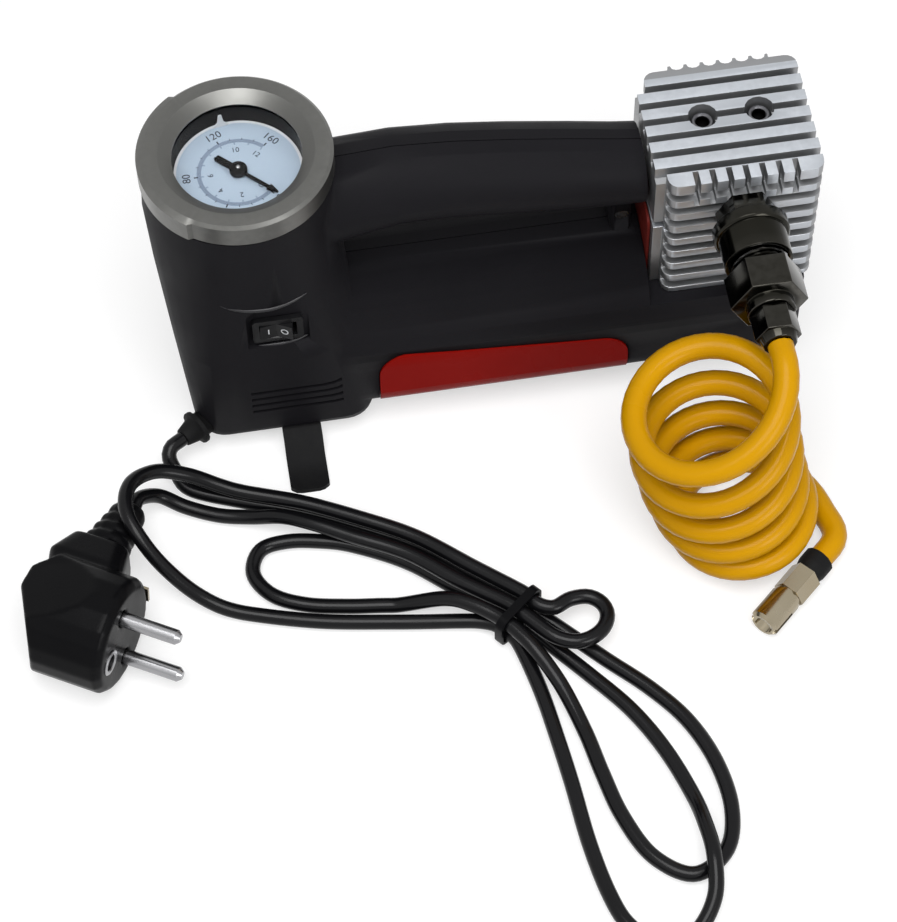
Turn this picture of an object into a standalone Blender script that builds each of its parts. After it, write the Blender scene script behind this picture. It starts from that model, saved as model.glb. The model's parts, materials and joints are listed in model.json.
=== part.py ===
"""Portable tire inflator: mains motor, geared piston compressor, dial gauge, coiled hose and tied cord.

Frame: metres, +Z up, X along the motor (gauge at -X, cylinder at +X), front at -Y.
The origin is the centre of the body's box on the floor.
"""
import math

import bmesh
import bpy
from mathutils import Matrix, Vector

# General fits
GAP = 0.0003            # between pieces that touch
RUNNING = 0.00025       # between a turning or sliding piece and what guides it
WALL = 0.0026           # housing wall
CUT = 0.0100            # how far a cutter runs past what it cuts
LAP = 0.0005            # how far joined shapes run into each other
CLEAR = 0.0010          # how far a cutter stays off a face it must not share
EDGE = 0.0010           # chamfer of a turned edge
FINE_EDGE = 0.0006      # chamfer of a small turned edge

# Overall
LENGTH = 0.2052
BASE_Z = 0.007          # housing underside above the floor
ROUND = 28              # steps of a large turned piece
BEZEL_ROUND = 32        # steps of the bezel
SMALL_ROUND = 14        # steps of a small turned piece
PLUG_ROUND = 20         # steps of the plug's body
RELIEF_ROUND = 12       # steps of its strain relief

# Gauge
BEZEL_RADIUS = 0.0289
BEZEL_LOBE = 0.0011
BEZEL_HEIGHT = 0.0086
BEZEL_FLAT = 0.0047
BEZEL_CHAMFER = 0.0007
LOBE_START = 124.0      # degrees round the bezel
LOBE_END = 236.0
GAUGE_TOP = 0.1139
WINDOW_RADIUS = 0.0195
WINDOW_LIP = 0.0004
LENS_RISE = 0.0044      # lens above the bezel's underside
LENS_THICK = 0.0009
LENS_LAP = 0.0015
CASE_DEPTH = 0.0225
CASE_WALL = 0.0012
DIAL_DROP = 0.0090      # dial below the lens
DIAL_THICK = 0.0006
NEEDLE_LENGTH = 0.0150
NEEDLE_TAIL = 0.0075
NEEDLE_WIDTH = 0.0016
NEEDLE_THICK = 0.0006
NEEDLE_HUB = 0.0021
NEEDLE_HEADING = -43.0  # degrees from +X, as the needle stands
SPINDLE_RADIUS = 0.0008
SPINDLE_DEPTH = 0.0060
BOURDON_RADIUS = 0.0135
BOURDON_TUBE = 0.0016
BOURDON_SWEEP = 255.0
STEM_RADIUS = 0.0048
STEM_LENGTH = 0.0190
GAUGE_X = -LENGTH / 2 + BEZEL_RADIUS + BEZEL_LOBE

# Column under the gauge: level, left and right of the gauge axis, half depth, corner radius
COLUMN_TOP = GAUGE_TOP - BEZEL_HEIGHT - GAP
COLUMN_NECK = 0.0286
COLUMN_BULGE = 0.0014   # the left side stands out below the bezel
COLUMN_BASE_LEFT = 0.0235
COLUMN_BASE_RIGHT = 0.0350
COLUMN_HALF_DEPTH = 0.0310
COLUMN_CORNER = 0.0110
COLUMN_LEVELS = (
    (BASE_Z, COLUMN_BASE_LEFT - 0.0010, COLUMN_BASE_RIGHT - 0.0010, COLUMN_HALF_DEPTH - 0.0012,
     COLUMN_CORNER - 0.0020),
    (BASE_Z + 0.0030, COLUMN_BASE_LEFT, COLUMN_BASE_RIGHT, COLUMN_HALF_DEPTH, COLUMN_CORNER),
    (BASE_Z + 0.0380, COLUMN_BASE_LEFT + 0.0030, COLUMN_BASE_RIGHT - 0.0035, COLUMN_HALF_DEPTH - 0.0005,
     COLUMN_CORNER + 0.0070),
    (BASE_Z + 0.0660, COLUMN_NECK + COLUMN_BULGE / 4, COLUMN_NECK, COLUMN_NECK + 0.0009,
     COLUMN_NECK - 0.0030),
    (COLUMN_TOP - 0.0110, COLUMN_NECK + COLUMN_BULGE, COLUMN_NECK, COLUMN_NECK, COLUMN_NECK),
    (COLUMN_TOP, COLUMN_NECK + COLUMN_BULGE / 2, COLUMN_NECK, COLUMN_NECK, COLUMN_NECK),
)

# Barrel round the motor and deck under the cylinder
BARREL_HALF_WIDTH = 0.0290
BARREL_BOTTOM = 0.0080
BARREL_CORNER = 0.0100
BARREL_SPRING = 0.0320  # height where the side walls turn into the arch
BARREL_CREST = 0.0560
DECK_Z = 0.0420
DECK_CORNER = 0.0090
DECK_INSET = 0.0021     # deck short of the block's right face

# Cylinder head and block
HEAD_WIDTH = 0.0480
HEAD_DEPTH = 0.0448
HEAD_TOP = 0.0965
HEAD_BOTTOM = 0.0729
HEAD_CORNER = 0.0035
FLANGE_THICK = 0.0030
FLANGE_HALF = 0.0170
FIN_PITCH = 0.00634
FIN_THICK = 0.0031
SIDE_GROOVE = 0.0040
TOP_FINS = 7
TOP_FIN_THICK = 0.0039
TOP_GROOVE = 0.0045
SIDE_FIN_DROP = 0.0029  # first side fin below the head's top
SIDE_FINS = 9
NOTCH_PITCH = 0.0051
NOTCH_COUNT = 7
NOTCH_WIDTH = 0.0018
NOTCH_DEPTH = 0.0050
NOTCH_HEIGHT = 0.0105
SCALLOP_RADIUS = 0.0022
RIB_REACH = 0.0016      # back ribs proud of the head's back
RIB_THICK = 0.0008
RIB_DROP = 0.0002       # ribs short of the head's top
GASKET_THICK = 0.0006
PLATE_THICK = 0.0012
RED_GASKET_THICK = 0.0008
RED_GASKET_HALF = 0.0145
RED_GASKET_CORNER = 0.0030
HEAD_X = LENGTH / 2 - HEAD_WIDTH / 2
BLOCK_LEFT = HEAD_X - HEAD_WIDTH / 2
BLOCK_RIGHT = HEAD_X + HEAD_WIDTH / 2
FLANGE_LEFT = BLOCK_LEFT - FLANGE_THICK
PLATE_Z = HEAD_BOTTOM - GAP - PLATE_THICK
GASKET_Z = PLATE_Z - GAP - GASKET_THICK
BLOCK_TOP = GASKET_Z - GAP
BLOCK_BOTTOM = DECK_Z + GAP
BARREL_END = FLANGE_LEFT - 2 * GAP - RED_GASKET_THICK
DECK_RIGHT = BLOCK_RIGHT - DECK_INSET

# Head screws
SCREW_SPREAD = 0.0088
SCREW_Y = FIN_PITCH / 2
SCREW_HEAD_RADIUS = 0.0035
SCREW_HEAD_HEIGHT = 0.0040
SCREW_SHANK_RADIUS = 0.0019
SCREW_GRIP = 0.0300     # shank below the screw's head
SOCKET_RADIUS = 0.0017
SOCKET_DEPTH = 0.0022
POCKET_RADIUS = 0.0046
POCKET_DEPTH = 0.0068

# Crank train
BORE_RADIUS = 0.0090
CYLINDER_Y = -0.0060
MOTOR_Z = 0.0352
TOOTH_MODULE = 0.0006
PINION_TEETH = 9
GEAR_TEETH = 36
TOOTH_BACKLASH = 0.00012
GEAR_THICK = 0.0055
CRANK_THROW = 0.0055
CRANK_PIN_RADIUS = 0.0020
AXLE_RADIUS = 0.0020
GEAR_CENTRES = TOOTH_MODULE * (PINION_TEETH + GEAR_TEETH) / 2
CRANK_Z = MOTOR_Z - math.sqrt(GEAR_CENTRES ** 2 - CYLINDER_Y ** 2)
BIG_END_WIDTH = 0.0070
BIG_END_RADIUS = 0.0064
BIG_END_BEARING = 0.0046
ROD_WIDTH = 0.0070
ROD_THICK = 0.0040
PISTON_THICK = 0.0040
PISTON_CLEARANCE = 0.0003
CUP_THICK = 0.0012
RETAINER_THICK = 0.0010
TOP_CLEARANCE = 0.0006  # piston crown under the block's top at the end of its stroke
PIN_END = HEAD_X - BIG_END_WIDTH / 2 - GAP
GEAR_RIGHT = PIN_END - 0.0085
GEAR_LEFT = GEAR_RIGHT - GEAR_THICK
PLATE_GEAR_GAP = 0.0030
GEAR_PLATE_THICK = 0.0036
GEAR_PLATE_RIGHT = GEAR_LEFT - PLATE_GEAR_GAP
GEAR_PLATE_LEFT = GEAR_PLATE_RIGHT - GEAR_PLATE_THICK
GEAR_PLATE_HALF = 0.0215
GEAR_PLATE_BOTTOM = 0.0118

# Motor
CAN_CLEARANCE = 0.0022   # can under the barrel's wall
CAN_RADIUS = BARREL_CREST - MOTOR_Z - WALL - CAN_CLEARANCE
CAN_LENGTH = 0.0520
CAN_WALL = 0.0013
NOSE_RADIUS = 0.0062
NOSE_LENGTH = 0.0026
SHAFT_RADIUS = 0.0015
SHAFT_TAIL = 0.0020     # shaft past the fan
MAGNET_ROOM = 0.0032
ARMATURE_RADIUS = CAN_RADIUS - CAN_WALL - MAGNET_ROOM
ARMATURE_LENGTH = 0.0280
ARMATURE_SLOTS = 5
SLOT_WIDTH = 0.0018
COMMUTATOR_RADIUS = 0.0045
COMMUTATOR_LENGTH = 0.0080
BEARING_RADIUS = 0.0040
BEARING_LENGTH = 0.0030
END_CAP_THICK = 0.0050
FAN_INSET = 0.0015
FAN_RADIUS = CAN_RADIUS - FAN_INSET
FAN_HUB = 0.0040
FAN_WIDTH = 0.0060
FAN_BLADES = 7
FAN_BLADE = 0.0016
CAN_RIGHT = BARREL_END - WALL - GAP
CAN_LEFT = CAN_RIGHT - CAN_LENGTH
END_CAP_LEFT = CAN_LEFT - GAP - END_CAP_THICK
FAN_RIGHT = END_CAP_LEFT - 0.0025
FAN_LEFT = FAN_RIGHT - FAN_WIDTH

# Handle: distance along the way from column to block, crest height, half height, half width
HANDLE_LEFT = GAUGE_X + 0.0170
HANDLE_STATIONS = (
    (0.00, 0.1030, 0.0173, 0.0162),
    (0.10, 0.1046, 0.0163, 0.0156),
    (0.28, 0.1060, 0.0146, 0.0148),
    (0.45, 0.1045, 0.0140, 0.0146),
    (0.62, 0.1016, 0.0138, 0.0144),
    (0.80, 0.0979, 0.0130, 0.0139),
    (0.93, 0.0949, 0.0120, 0.0134),
    (1.00, 0.0936, 0.0114, 0.0132),
)
HANDLE_SIDES = 20
POST_LEFT = 0.0092      # post's far side before the barrel's end
POST_LENGTH = 0.0064
POST_HALF = 0.0060
AIR_LINE_RADIUS = 0.0020
CHANNEL_RADIUS = 0.0030
LINE_BEND = 0.0090
CASE_SCREW_HEAD = 0.0022
CASE_SCREW_HEAD_LENGTH = 0.0022
CASE_SCREW_SHANK = 0.0014
CASE_SCREW_SINK = 0.0006
HANDLE_SCREW_LENGTH = 0.0130
POST_SCREW_LENGTH = 0.0070
HANDLE_SCREW_DROP = 0.0066
HANDLE_SCREW_STATIONS = (0.40, 0.78)

# Red side panels: left and right ends from the column's base and the barrel's end
PANEL_THICK = 0.0020
PANEL_PROUD = 0.0004
PANEL_LEFT_INSET = 0.0010
PANEL_RIGHT_INSET = 0.0070
PANEL_TOP_LEFT = 0.0365
PANEL_TOP_RIGHT = 0.0310
PANEL_CORNER = 0.0090
PANEL_UNDER = 0.0215    # half width at which the panel ends below the barrel

# Switch, vents, gland, feet
SWITCH_DX = 0.0056      # switch right of the gauge axis
SWITCH_Z = 0.0610
SWITCH_WIDTH = 0.0156
SWITCH_HEIGHT = 0.0108
SWITCH_RIM = 0.0012
SWITCH_FACE = 0.0016
SWITCH_BODY = 0.0110
ROCKER_TILT = 9.0       # degrees each way
ROCKER_DEPTH = 0.0045
SWITCH_RECESS = 0.0022  # recess floor behind the column's front
RECESS_MARGIN = 0.0018
RECESS_RISE = 0.0050
VENT_COUNT = 4
VENT_PITCH = 0.0033
VENT_HEIGHT = 0.0014
VENT_LENGTH = 0.0290
VENT_DX = 0.0095
VENT_Z = 0.0196
GLAND_HEADING = 215.0   # degrees from +X
GLAND_Z = 0.0105
GLAND_REACH = 0.0080
GLAND_INSIDE = 0.0100
GLAND_RADIUS = 0.0042
GLAND_TIP = 0.0030
GLAND_FLANGE = 0.0015
STRIP_DX = 0.0098       # strip right of the gauge axis
STRIP_WIDTH = 0.0125
STRIP_THICK = 0.0020
STRIP_REACH = 0.0512    # half length on the floor
STRIP_CORNER = 0.0045
STRIP_KNEE = 0.0345
STRIP_RUN = 0.0040
FOOT_RADIUS = 0.0070
FOOT_STUD = 0.0018
FOOT_INSET_X = 0.0150
FOOT_Y = 0.0165
BOARD_LENGTH = 0.0340
BOARD_HEIGHT = 0.0300
BOARD_THICK = 0.0016
BOARD_Y = 0.0120
BOARD_Z = 0.0160
BOARD_INSET = 0.0100    # from the column's left
BOARD_PARTS = (         # place along and up the board, then width, height and depth
    (0.0040, 0.0040, 0.0100, 0.0120, 0.0090),
    (0.0180, 0.0050, 0.0120, 0.0080, 0.0060),
    (0.0190, 0.0180, 0.0080, 0.0080, 0.0050),
)

# Outlet and quick coupler, distances out from the head's front face
OUTLET_Z = 0.0810
THREAD_RADIUS = 0.0046
THREAD_LENGTH = 0.0100
NIPPLE_HEX = 0.0094
NIPPLE_HEX_LENGTH = 0.0052
NIPPLE_NECK = 0.0042
NIPPLE_REACH = 0.0240
CHAMBER_RADIUS = 0.0055
CHAMBER_TOP = 0.0130
VALVE_RADIUS = 0.0042
VALVE_THICK = 0.0012
VALVE_LIFT = 0.0010
VALVE_PORT = 0.0024
SPRING_WIRE = 0.0004
SPRING_RADIUS = 0.0028
SPRING_TURNS = 5
SLEEVE_START = 0.0066
SLEEVE_RING_RADIUS = 0.0118
SLEEVE_RING_LENGTH = 0.0046
SLEEVE_RADIUS = 0.0105
SLEEVE_LENGTH = 0.0140
SLEEVE_TRAVEL = 0.0040
SLEEVE_SPRING_WIRE = 0.0004
SLEEVE_SPRING_TURNS = 3
BODY_RADIUS = 0.0080
BODY_START = 0.0074
COUPLER_HEX = 0.0119
COUPLER_HEX_LENGTH = 0.0110
COUPLER_TAIL = 0.0074
COUPLER_TAIL_LENGTH = 0.0036
NUT_HEX = 0.0071
NUT_LENGTH = 0.0110
HEAD_FRONT = -HEAD_DEPTH / 2
SLEEVE_END = SLEEVE_START + SLEEVE_LENGTH
COUPLER_HEX_START = SLEEVE_END + SLEEVE_TRAVEL + GAP
TAIL_START = COUPLER_HEX_START + COUPLER_HEX_LENGTH
NUT_START = TAIL_START + COUPLER_TAIL_LENGTH + GAP
NUT_END = NUT_START + NUT_LENGTH

# Coiled hose: centre and radius at the floor and at the coupler
HOSE_DIAMETER = 0.0080
HOSE_TURNS = 5
HOSE_POINTS = 22
HOSE_PITCH = 0.0086
HOSE_FOOT_RADIUS = 0.0210
HOSE_HEAD_RADIUS = 0.0228
HOSE_FOOT_CENTRE = (-0.0040, -0.0883)   # from the outlet's axis, and in Y
HOSE_LEAD = 0.0060      # straight run out of the nut
HOSE_LEAN = 0.221       # each turn's back above its front, grows with height
HOSE_SIDE_LEAN = 0.311  # each turn's right above its left
HOSE_RISE_POWER = 2.6
HOSE_DRIFT_POWER = 0.6
HOSE_FLOOR = 0.0043
FERRULE_RADIUS = 0.0050
FERRULE_LENGTH = 0.0070
CHUCK_HEX = 0.0053
CHUCK_HEX_LENGTH = 0.0095
CHUCK_RADIUS = 0.0050
CHUCK_LENGTH = 0.0135
CHUCK_SLOT = 0.0020
HOSE_TAIL = ((0.0014, -0.0048, 0.0045), (0.0012, -0.0090, 0.0049), (-0.0008, -0.0124, 0.0054))
HOSE_END = 0.0060       # straight run into the ferrule
HOSE_END_HEADING = -138.0   # degrees from +X

# Mains cord: route of the tied hank on the floor, in metres
CORD_DIAMETER = 0.0048
CORD_SPACING = 0.0096
CORD_STUB = 0.0012      # straight run at each end of the cord
FLOOR = 0.0027          # cord's middle on the floor
OVER = 0.0085           # cord's middle where it lies on another
TIED = 0.0041           # cord's middle inside the tie
TIED_OVER = 0.0099
CORD_ROUTE = (
    (-0.1046, -0.0400, 0.0062), (-0.1005, -0.0462, 0.0036), (-0.0840, -0.0530, FLOOR),
    (-0.0670, -0.0595, FLOOR), (-0.0500, -0.0680, FLOOR), (-0.0330, -0.0780, FLOOR),
    (-0.0170, -0.0920, 0.0032), (-0.0043, -0.1033, TIED), (-0.0017, -0.1063, TIED),
    (0.0009, -0.1093, TIED), (0.0085, -0.1170, 0.0033), (0.0190, -0.1280, FLOOR),
    (0.0300, -0.1395, FLOOR), (0.0390, -0.1520, FLOOR), (0.0447, -0.1670, FLOOR),
    (0.0462, -0.1830, FLOOR), (0.0420, -0.1960, FLOOR), (0.0310, -0.2022, FLOOR),
    (0.0200, -0.1945, FLOOR), (0.0135, -0.1800, FLOOR), (0.0102, -0.1650, FLOOR),
    (0.0075, -0.1500, FLOOR), (0.0030, -0.1350, 0.0050), (-0.0030, -0.1237, 0.0090),
    (-0.0077, -0.1167, TIED_OVER), (-0.0103, -0.1137, TIED_OVER), (-0.0129, -0.1107, TIED_OVER),
    (-0.0190, -0.1060, TIED_OVER), (-0.0275, -0.1014, OVER), (-0.0430, -0.0980, FLOOR),
    (-0.0570, -0.0960, FLOOR), (-0.0700, -0.0932, FLOOR), (-0.0800, -0.0880, FLOOR),
    (-0.0848, -0.0795, FLOOR), (-0.0815, -0.0715, FLOOR), (-0.0730, -0.0697, FLOOR),
    (-0.0630, -0.0712, FLOOR), (-0.0526, -0.0745, FLOOR), (-0.0364, -0.0835, FLOOR),
    (-0.0216, -0.0966, 0.0032), (-0.0086, -0.1070, TIED), (-0.0060, -0.1100, TIED),
    (-0.0034, -0.1130, TIED), (0.0030, -0.1205, 0.0033), (0.0130, -0.1325, FLOOR),
    (0.0230, -0.1460, FLOOR), (0.0305, -0.1610, FLOOR), (0.0355, -0.1770, 0.0034),
    (0.0368, -0.1890, 0.0072), (0.0370, -0.2000, 0.0090), (0.0350, -0.2115, 0.0055),
    (0.0275, -0.2205, FLOOR), (0.0170, -0.2220, FLOOR), (0.0090, -0.2150, FLOOR),
    (0.0050, -0.2040, FLOOR), (0.0022, -0.1870, FLOOR), (0.0006, -0.1670, FLOOR),
    (-0.0012, -0.1500, FLOOR), (-0.0030, -0.1360, FLOOR), (-0.0055, -0.1240, 0.0034),
    (-0.0077, -0.1167, TIED), (-0.0103, -0.1137, TIED), (-0.0129, -0.1107, TIED),
    (-0.0240, -0.1070, 0.0031), (-0.0430, -0.1040, FLOOR), (-0.0670, -0.0997, FLOOR),
    (-0.0900, -0.0928, FLOOR), (-0.1020, -0.0868, 0.0060), (-0.1120, -0.0790, 0.0140),
    (-0.1185, -0.0700, 0.0205), (-0.1210, -0.0610, 0.0226), (-0.1185, -0.0520, 0.0215),
    (-0.1105, -0.0466, 0.0178), (-0.1005, -0.0468, 0.0132), (-0.0910, -0.0502, 0.0096),
    (-0.0840, -0.0530, OVER),
    (-0.0670, -0.0595, OVER), (-0.0500, -0.0680, OVER), (-0.0330, -0.0780, OVER),
    (-0.0170, -0.0920, 0.0090), (-0.0043, -0.1033, TIED_OVER), (-0.0017, -0.1063, TIED_OVER),
    (0.0009, -0.1093, TIED_OVER), (0.0055, -0.1114, 0.0095), (0.0115, -0.1088, 0.0090),
    (0.0180, -0.1086, 0.0086), (0.0215, -0.1140, 0.0086), (0.0175, -0.1210, 0.0089),
    (0.0095, -0.1232, 0.0094), (0.0025, -0.1198, 0.0098), (-0.0034, -0.1130, TIED_OVER),
    (-0.0060, -0.1100, TIED_OVER), (-0.0086, -0.1070, TIED_OVER), (-0.0216, -0.0966, 0.0090),
    (-0.0364, -0.0835, OVER), (-0.0526, -0.0745, OVER), (-0.0640, -0.0680, OVER),
    (-0.0730, -0.0632, 0.0072), (-0.0830, -0.0596, 0.0038), (-0.0930, -0.0566, FLOOR),
    (-0.1030, -0.0522, 0.0034), (-0.1108, -0.0490, 0.0070),
)
TIE_CENTRE = (-0.0060, -0.1100)
TIE_HEADING = -49.5     # degrees, along the tied strands
TIE_INNER_HALF = 0.0087
TIE_INNER_BOTTOM = 0.0013
TIE_INNER_TOP = 0.0129
TIE_THICK = 0.0009
TIE_WIDTH = 0.0028

# Plug: middle of its body, headings of pins and of cord, and how far the cord end dips
PLUG_CENTRE = (-0.1379, -0.0981)
PLUG_PIN_HEADING = -30.0
PLUG_DIP = 8.0
PLUG_RADIUS = 0.0185
PLUG_FRONT = 0.0135     # face before the body's middle
PLUG_BACK = 0.0205      # back behind the body's middle, on the cord's side
PLUG_HEEL = 0.0090      # back behind the body's middle, on the far side
PLUG_FACE_BEVEL = 0.0020
PLUG_STEP = 0.0030
PLUG_BACK_REACH = (0.0000, 0.0080)      # flat of the back along the cord
PLUG_BACK_HALF = 0.0100     # the body is this thin at its back
PLUG_TAPER = 0.0060     # where the body starts to thin, before its middle
SHOULDER_RINGS = ((0.0030, 0.0118, 0.0125), (0.0170, 0.0112, 0.0108), (0.0270, 0.0084, 0.0082))
SHOULDER_CORNER = 0.0040
PIN_RADIUS = 0.0024
PIN_LENGTH = 0.0190
PIN_SEAT = 0.0060
PIN_HALF_SPREAD = 0.0095
RELIEF_SET_BACK = 0.0050    # relief behind the body's middle
RELIEF_ROOT = 0.0180
RELIEF_LENGTH = 0.0280
RELIEF_ROOT_RADIUS = 0.0076
RELIEF_TIP_RADIUS = 0.0054
RELIEF_RIBS = 6
RELIEF_RIB_HEIGHT = 0.0009
EARTH_RADIUS = 0.0032
EARTH_DEPTH = 0.0060
EARTH_OFFSET = 0.0100
CLIP_WIDTH = 0.0060
CLIP_THICK = 0.0009
CLIP_LENGTH = 0.0080

FINISHES = {
    "black_plastic": ((0.010, 0.010, 0.012), 0.45, 0.0),
    "red_plastic": ((0.30, 0.008, 0.005), 0.15, 0.0),
    "satin_silver": ((0.42, 0.42, 0.40), 0.35, 1.0),
    "clear_lens": ((0.90, 0.94, 0.97), 0.05, 0.0),
    "white_dial": ((0.72, 0.78, 0.84), 0.50, 0.0),
    "black_paint": ((0.012, 0.012, 0.012), 0.40, 0.0),
    "cast_aluminium": ((0.55, 0.57, 0.59), 0.40, 1.0),
    "gunmetal": ((0.060, 0.060, 0.055), 0.25, 1.0),
    "steel": ((0.45, 0.45, 0.46), 0.30, 1.0),
    "brass": ((0.45, 0.33, 0.15), 0.30, 1.0),
    "copper": ((0.55, 0.25, 0.12), 0.35, 1.0),
    "yellow_hose": ((0.72, 0.36, 0.005), 0.25, 0.0),
    "black_rubber": ((0.012, 0.012, 0.012), 0.70, 0.0),
    "red_gasket": ((0.25, 0.020, 0.012), 0.60, 0.0),
    "circuit_green": ((0.02, 0.12, 0.05), 0.50, 0.0),
    "white_nylon": ((0.70, 0.69, 0.64), 0.50, 0.0),
}


# Building blocks

def finish(name):
    """Return the named material, made on first use."""
    material = bpy.data.materials.get(name)
    if material is None:
        colour, roughness, metallic = FINISHES[name]
        material = bpy.data.materials.new(name)
        material.use_nodes = True
        shader = material.node_tree.nodes["Principled BSDF"]
        shader.inputs["Base Color"].default_value = (*colour, 1.0)
        shader.inputs["Roughness"].default_value = roughness
        shader.inputs["Metallic"].default_value = metallic
        material.diffuse_color = (*colour, 1.0)
    return material


def solid(name, bm, finish_name, origin=(0.0, 0.0, 0.0), turn=None):
    """Make an object from a bmesh; the object's origin stands at the given point."""
    bmesh.ops.remove_doubles(bm, verts=bm.verts, dist=1e-6)
    bmesh.ops.recalc_face_normals(bm, faces=bm.faces)
    if turn is not None:
        bmesh.ops.transform(bm, matrix=turn, verts=bm.verts)
    bmesh.ops.translate(bm, verts=bm.verts, vec=-Vector(origin))
    mesh = bpy.data.meshes.new(name)
    bm.to_mesh(mesh)
    bm.free()
    mesh.shade_smooth()
    mesh.set_sharp_from_angle(angle=math.radians(35))
    obj = bpy.data.objects.new(name, mesh)
    obj.location = origin
    bpy.context.scene.collection.objects.link(obj)
    if finish_name:
        mesh.materials.append(finish(finish_name))
    return obj


def combine(target, tool, operation="DIFFERENCE"):
    """Apply a boolean to the target and delete the tool."""
    modifier = target.modifiers.new(operation.lower(), "BOOLEAN")
    modifier.operation = operation
    modifier.solver = "EXACT"
    modifier.object = tool
    bpy.context.view_layer.update()
    graph = bpy.context.evaluated_depsgraph_get()
    mesh = bpy.data.meshes.new_from_object(target.evaluated_get(graph))
    target.modifiers.clear()
    old = target.data
    target.data = mesh
    mesh.name = old.name
    bpy.data.meshes.remove(old)
    bpy.data.objects.remove(tool)
    return target


def cut(target, bm):
    """Take the shape of a bmesh out of the target."""
    return combine(target, solid(target.name + "_cutter", bm, None), "DIFFERENCE")


def join(target, bm):
    """Fuse the shape of a bmesh to the target."""
    return combine(target, solid(target.name + "_addition", bm, None), "UNION")


def box(low, high):
    """Return a bmesh box between two corners."""
    bm = bmesh.new()
    bmesh.ops.create_cube(bm, size=1.0)
    size = [b - a for a, b in zip(low, high)]
    middle = [(a + b) / 2 for a, b in zip(low, high)]
    bmesh.ops.scale(bm, verts=bm.verts, vec=size)
    bmesh.ops.translate(bm, verts=bm.verts, vec=middle)
    return bm


def merged(shapes):
    """Return one bmesh that holds several separate shapes."""
    bm = bmesh.new()
    for shape in shapes:
        part = bpy.data.meshes.new("shape")
        bmesh.ops.recalc_face_normals(shape, faces=shape.faces)
        shape.to_mesh(part)
        bm.from_mesh(part)
        shape.free()
        bpy.data.meshes.remove(part)
    return bm


def prism(outline, low, high, axis="Z"):
    """Extrude a closed outline of 2D points from low to high along an axis."""
    place = {
        "X": lambda u, v, w: (w, u, v),
        "Y": lambda u, v, w: (u, w, v),
        "Z": lambda u, v, w: (u, v, w),
    }[axis]
    bm = bmesh.new()
    face = bm.faces.new([bm.verts.new(place(u, v, low)) for u, v in outline])
    raised = bmesh.ops.extrude_face_region(bm, geom=[face])
    verts = [item for item in raised["geom"] if isinstance(item, bmesh.types.BMVert)]
    bmesh.ops.translate(bm, verts=verts, vec=place(0.0, 0.0, high - low))
    return bm


def turned(profile, steps=ROUND, axis="Z", centre=(0.0, 0.0, 0.0)):
    """Turn a closed profile of (radius, height) points about an axis through centre."""
    bm = bmesh.new()
    verts = [bm.verts.new((radius, 0.0, height)) for radius, height in profile]
    edges = [bm.edges.new((a, b)) for a, b in zip(verts, verts[1:])]
    if profile[0][0] > 0.0 or profile[-1][0] > 0.0:
        edges.append(bm.edges.new((verts[-1], verts[0])))
    bmesh.ops.spin(bm, geom=verts + edges, cent=(0, 0, 0), axis=(0, 0, 1), angle=2 * math.pi,
                   steps=steps, use_merge=True)
    bmesh.ops.remove_doubles(bm, verts=bm.verts, dist=1e-6)
    on_axis = [v for v in bm.verts if math.hypot(v.co.x, v.co.y) < 1e-7]
    bmesh.ops.dissolve_verts(bm, verts=on_axis)
    turn = {
        "Z": Matrix.Identity(4),
        "X": Matrix.Rotation(math.radians(90), 4, "Y"),
        "-Y": Matrix.Rotation(math.radians(90), 4, "X"),
    }[axis]
    bmesh.ops.transform(bm, matrix=Matrix.Translation(centre) @ turn, verts=bm.verts)
    bmesh.ops.recalc_face_normals(bm, faces=bm.faces)
    return bm


def rod(radius, low, high, steps=SMALL_ROUND, axis="Z", centre=(0.0, 0.0, 0.0)):
    """Return a plain cylinder from low to high along an axis."""
    return turned([(0.0, low), (radius, low), (radius, high), (0.0, high)], steps, axis, centre)


def ring(outer, inner, low, high, steps=SMALL_ROUND, axis="Z", centre=(0.0, 0.0, 0.0)):
    """Return a plain ring from low to high along an axis."""
    profile = [(inner, low), (outer, low), (outer, high), (inner, high)]
    return turned(profile, steps, axis, centre)


def hexagon(radius, low, high, axis="Z", centre=(0.0, 0.0, 0.0)):
    """Return a hexagonal bar of the given corner radius."""
    return rod(radius, low, high, 6, axis, centre)


def loft(rings):
    """Skin a stack of rings of equally many points and close both ends."""
    bm = bmesh.new()
    rows = [[bm.verts.new(point) for point in points] for points in rings]
    count = len(rows[0])
    for lower, upper in zip(rows, rows[1:]):
        for i in range(count):
            j = (i + 1) % count
            bm.faces.new((lower[i], lower[j], upper[j], upper[i]))
    bm.faces.new(list(reversed(rows[0])))
    bm.faces.new(rows[-1])
    return bm


def arc(cx, cy, radius, start, end, steps, radius_y=None):
    """Return points on an arc between two angles in degrees, ends included."""
    tall = radius if radius_y is None else radius_y
    angles = [math.radians(start + (end - start) * i / steps) for i in range(steps + 1)]
    return [(cx + radius * math.cos(a), cy + tall * math.sin(a)) for a in angles]


def rounded_outline(left, right, low, high, radius, steps=6):
    """Return a rectangle with round corners, counter-clockwise."""
    r = min(radius, (right - left) / 2, (high - low) / 2)
    return (arc(right - r, low + r, r, -90, 0, steps) + arc(right - r, high - r, r, 0, 90, steps)
            + arc(left + r, high - r, r, 90, 180, steps) + arc(left + r, low + r, r, 180, 270, steps))


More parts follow.
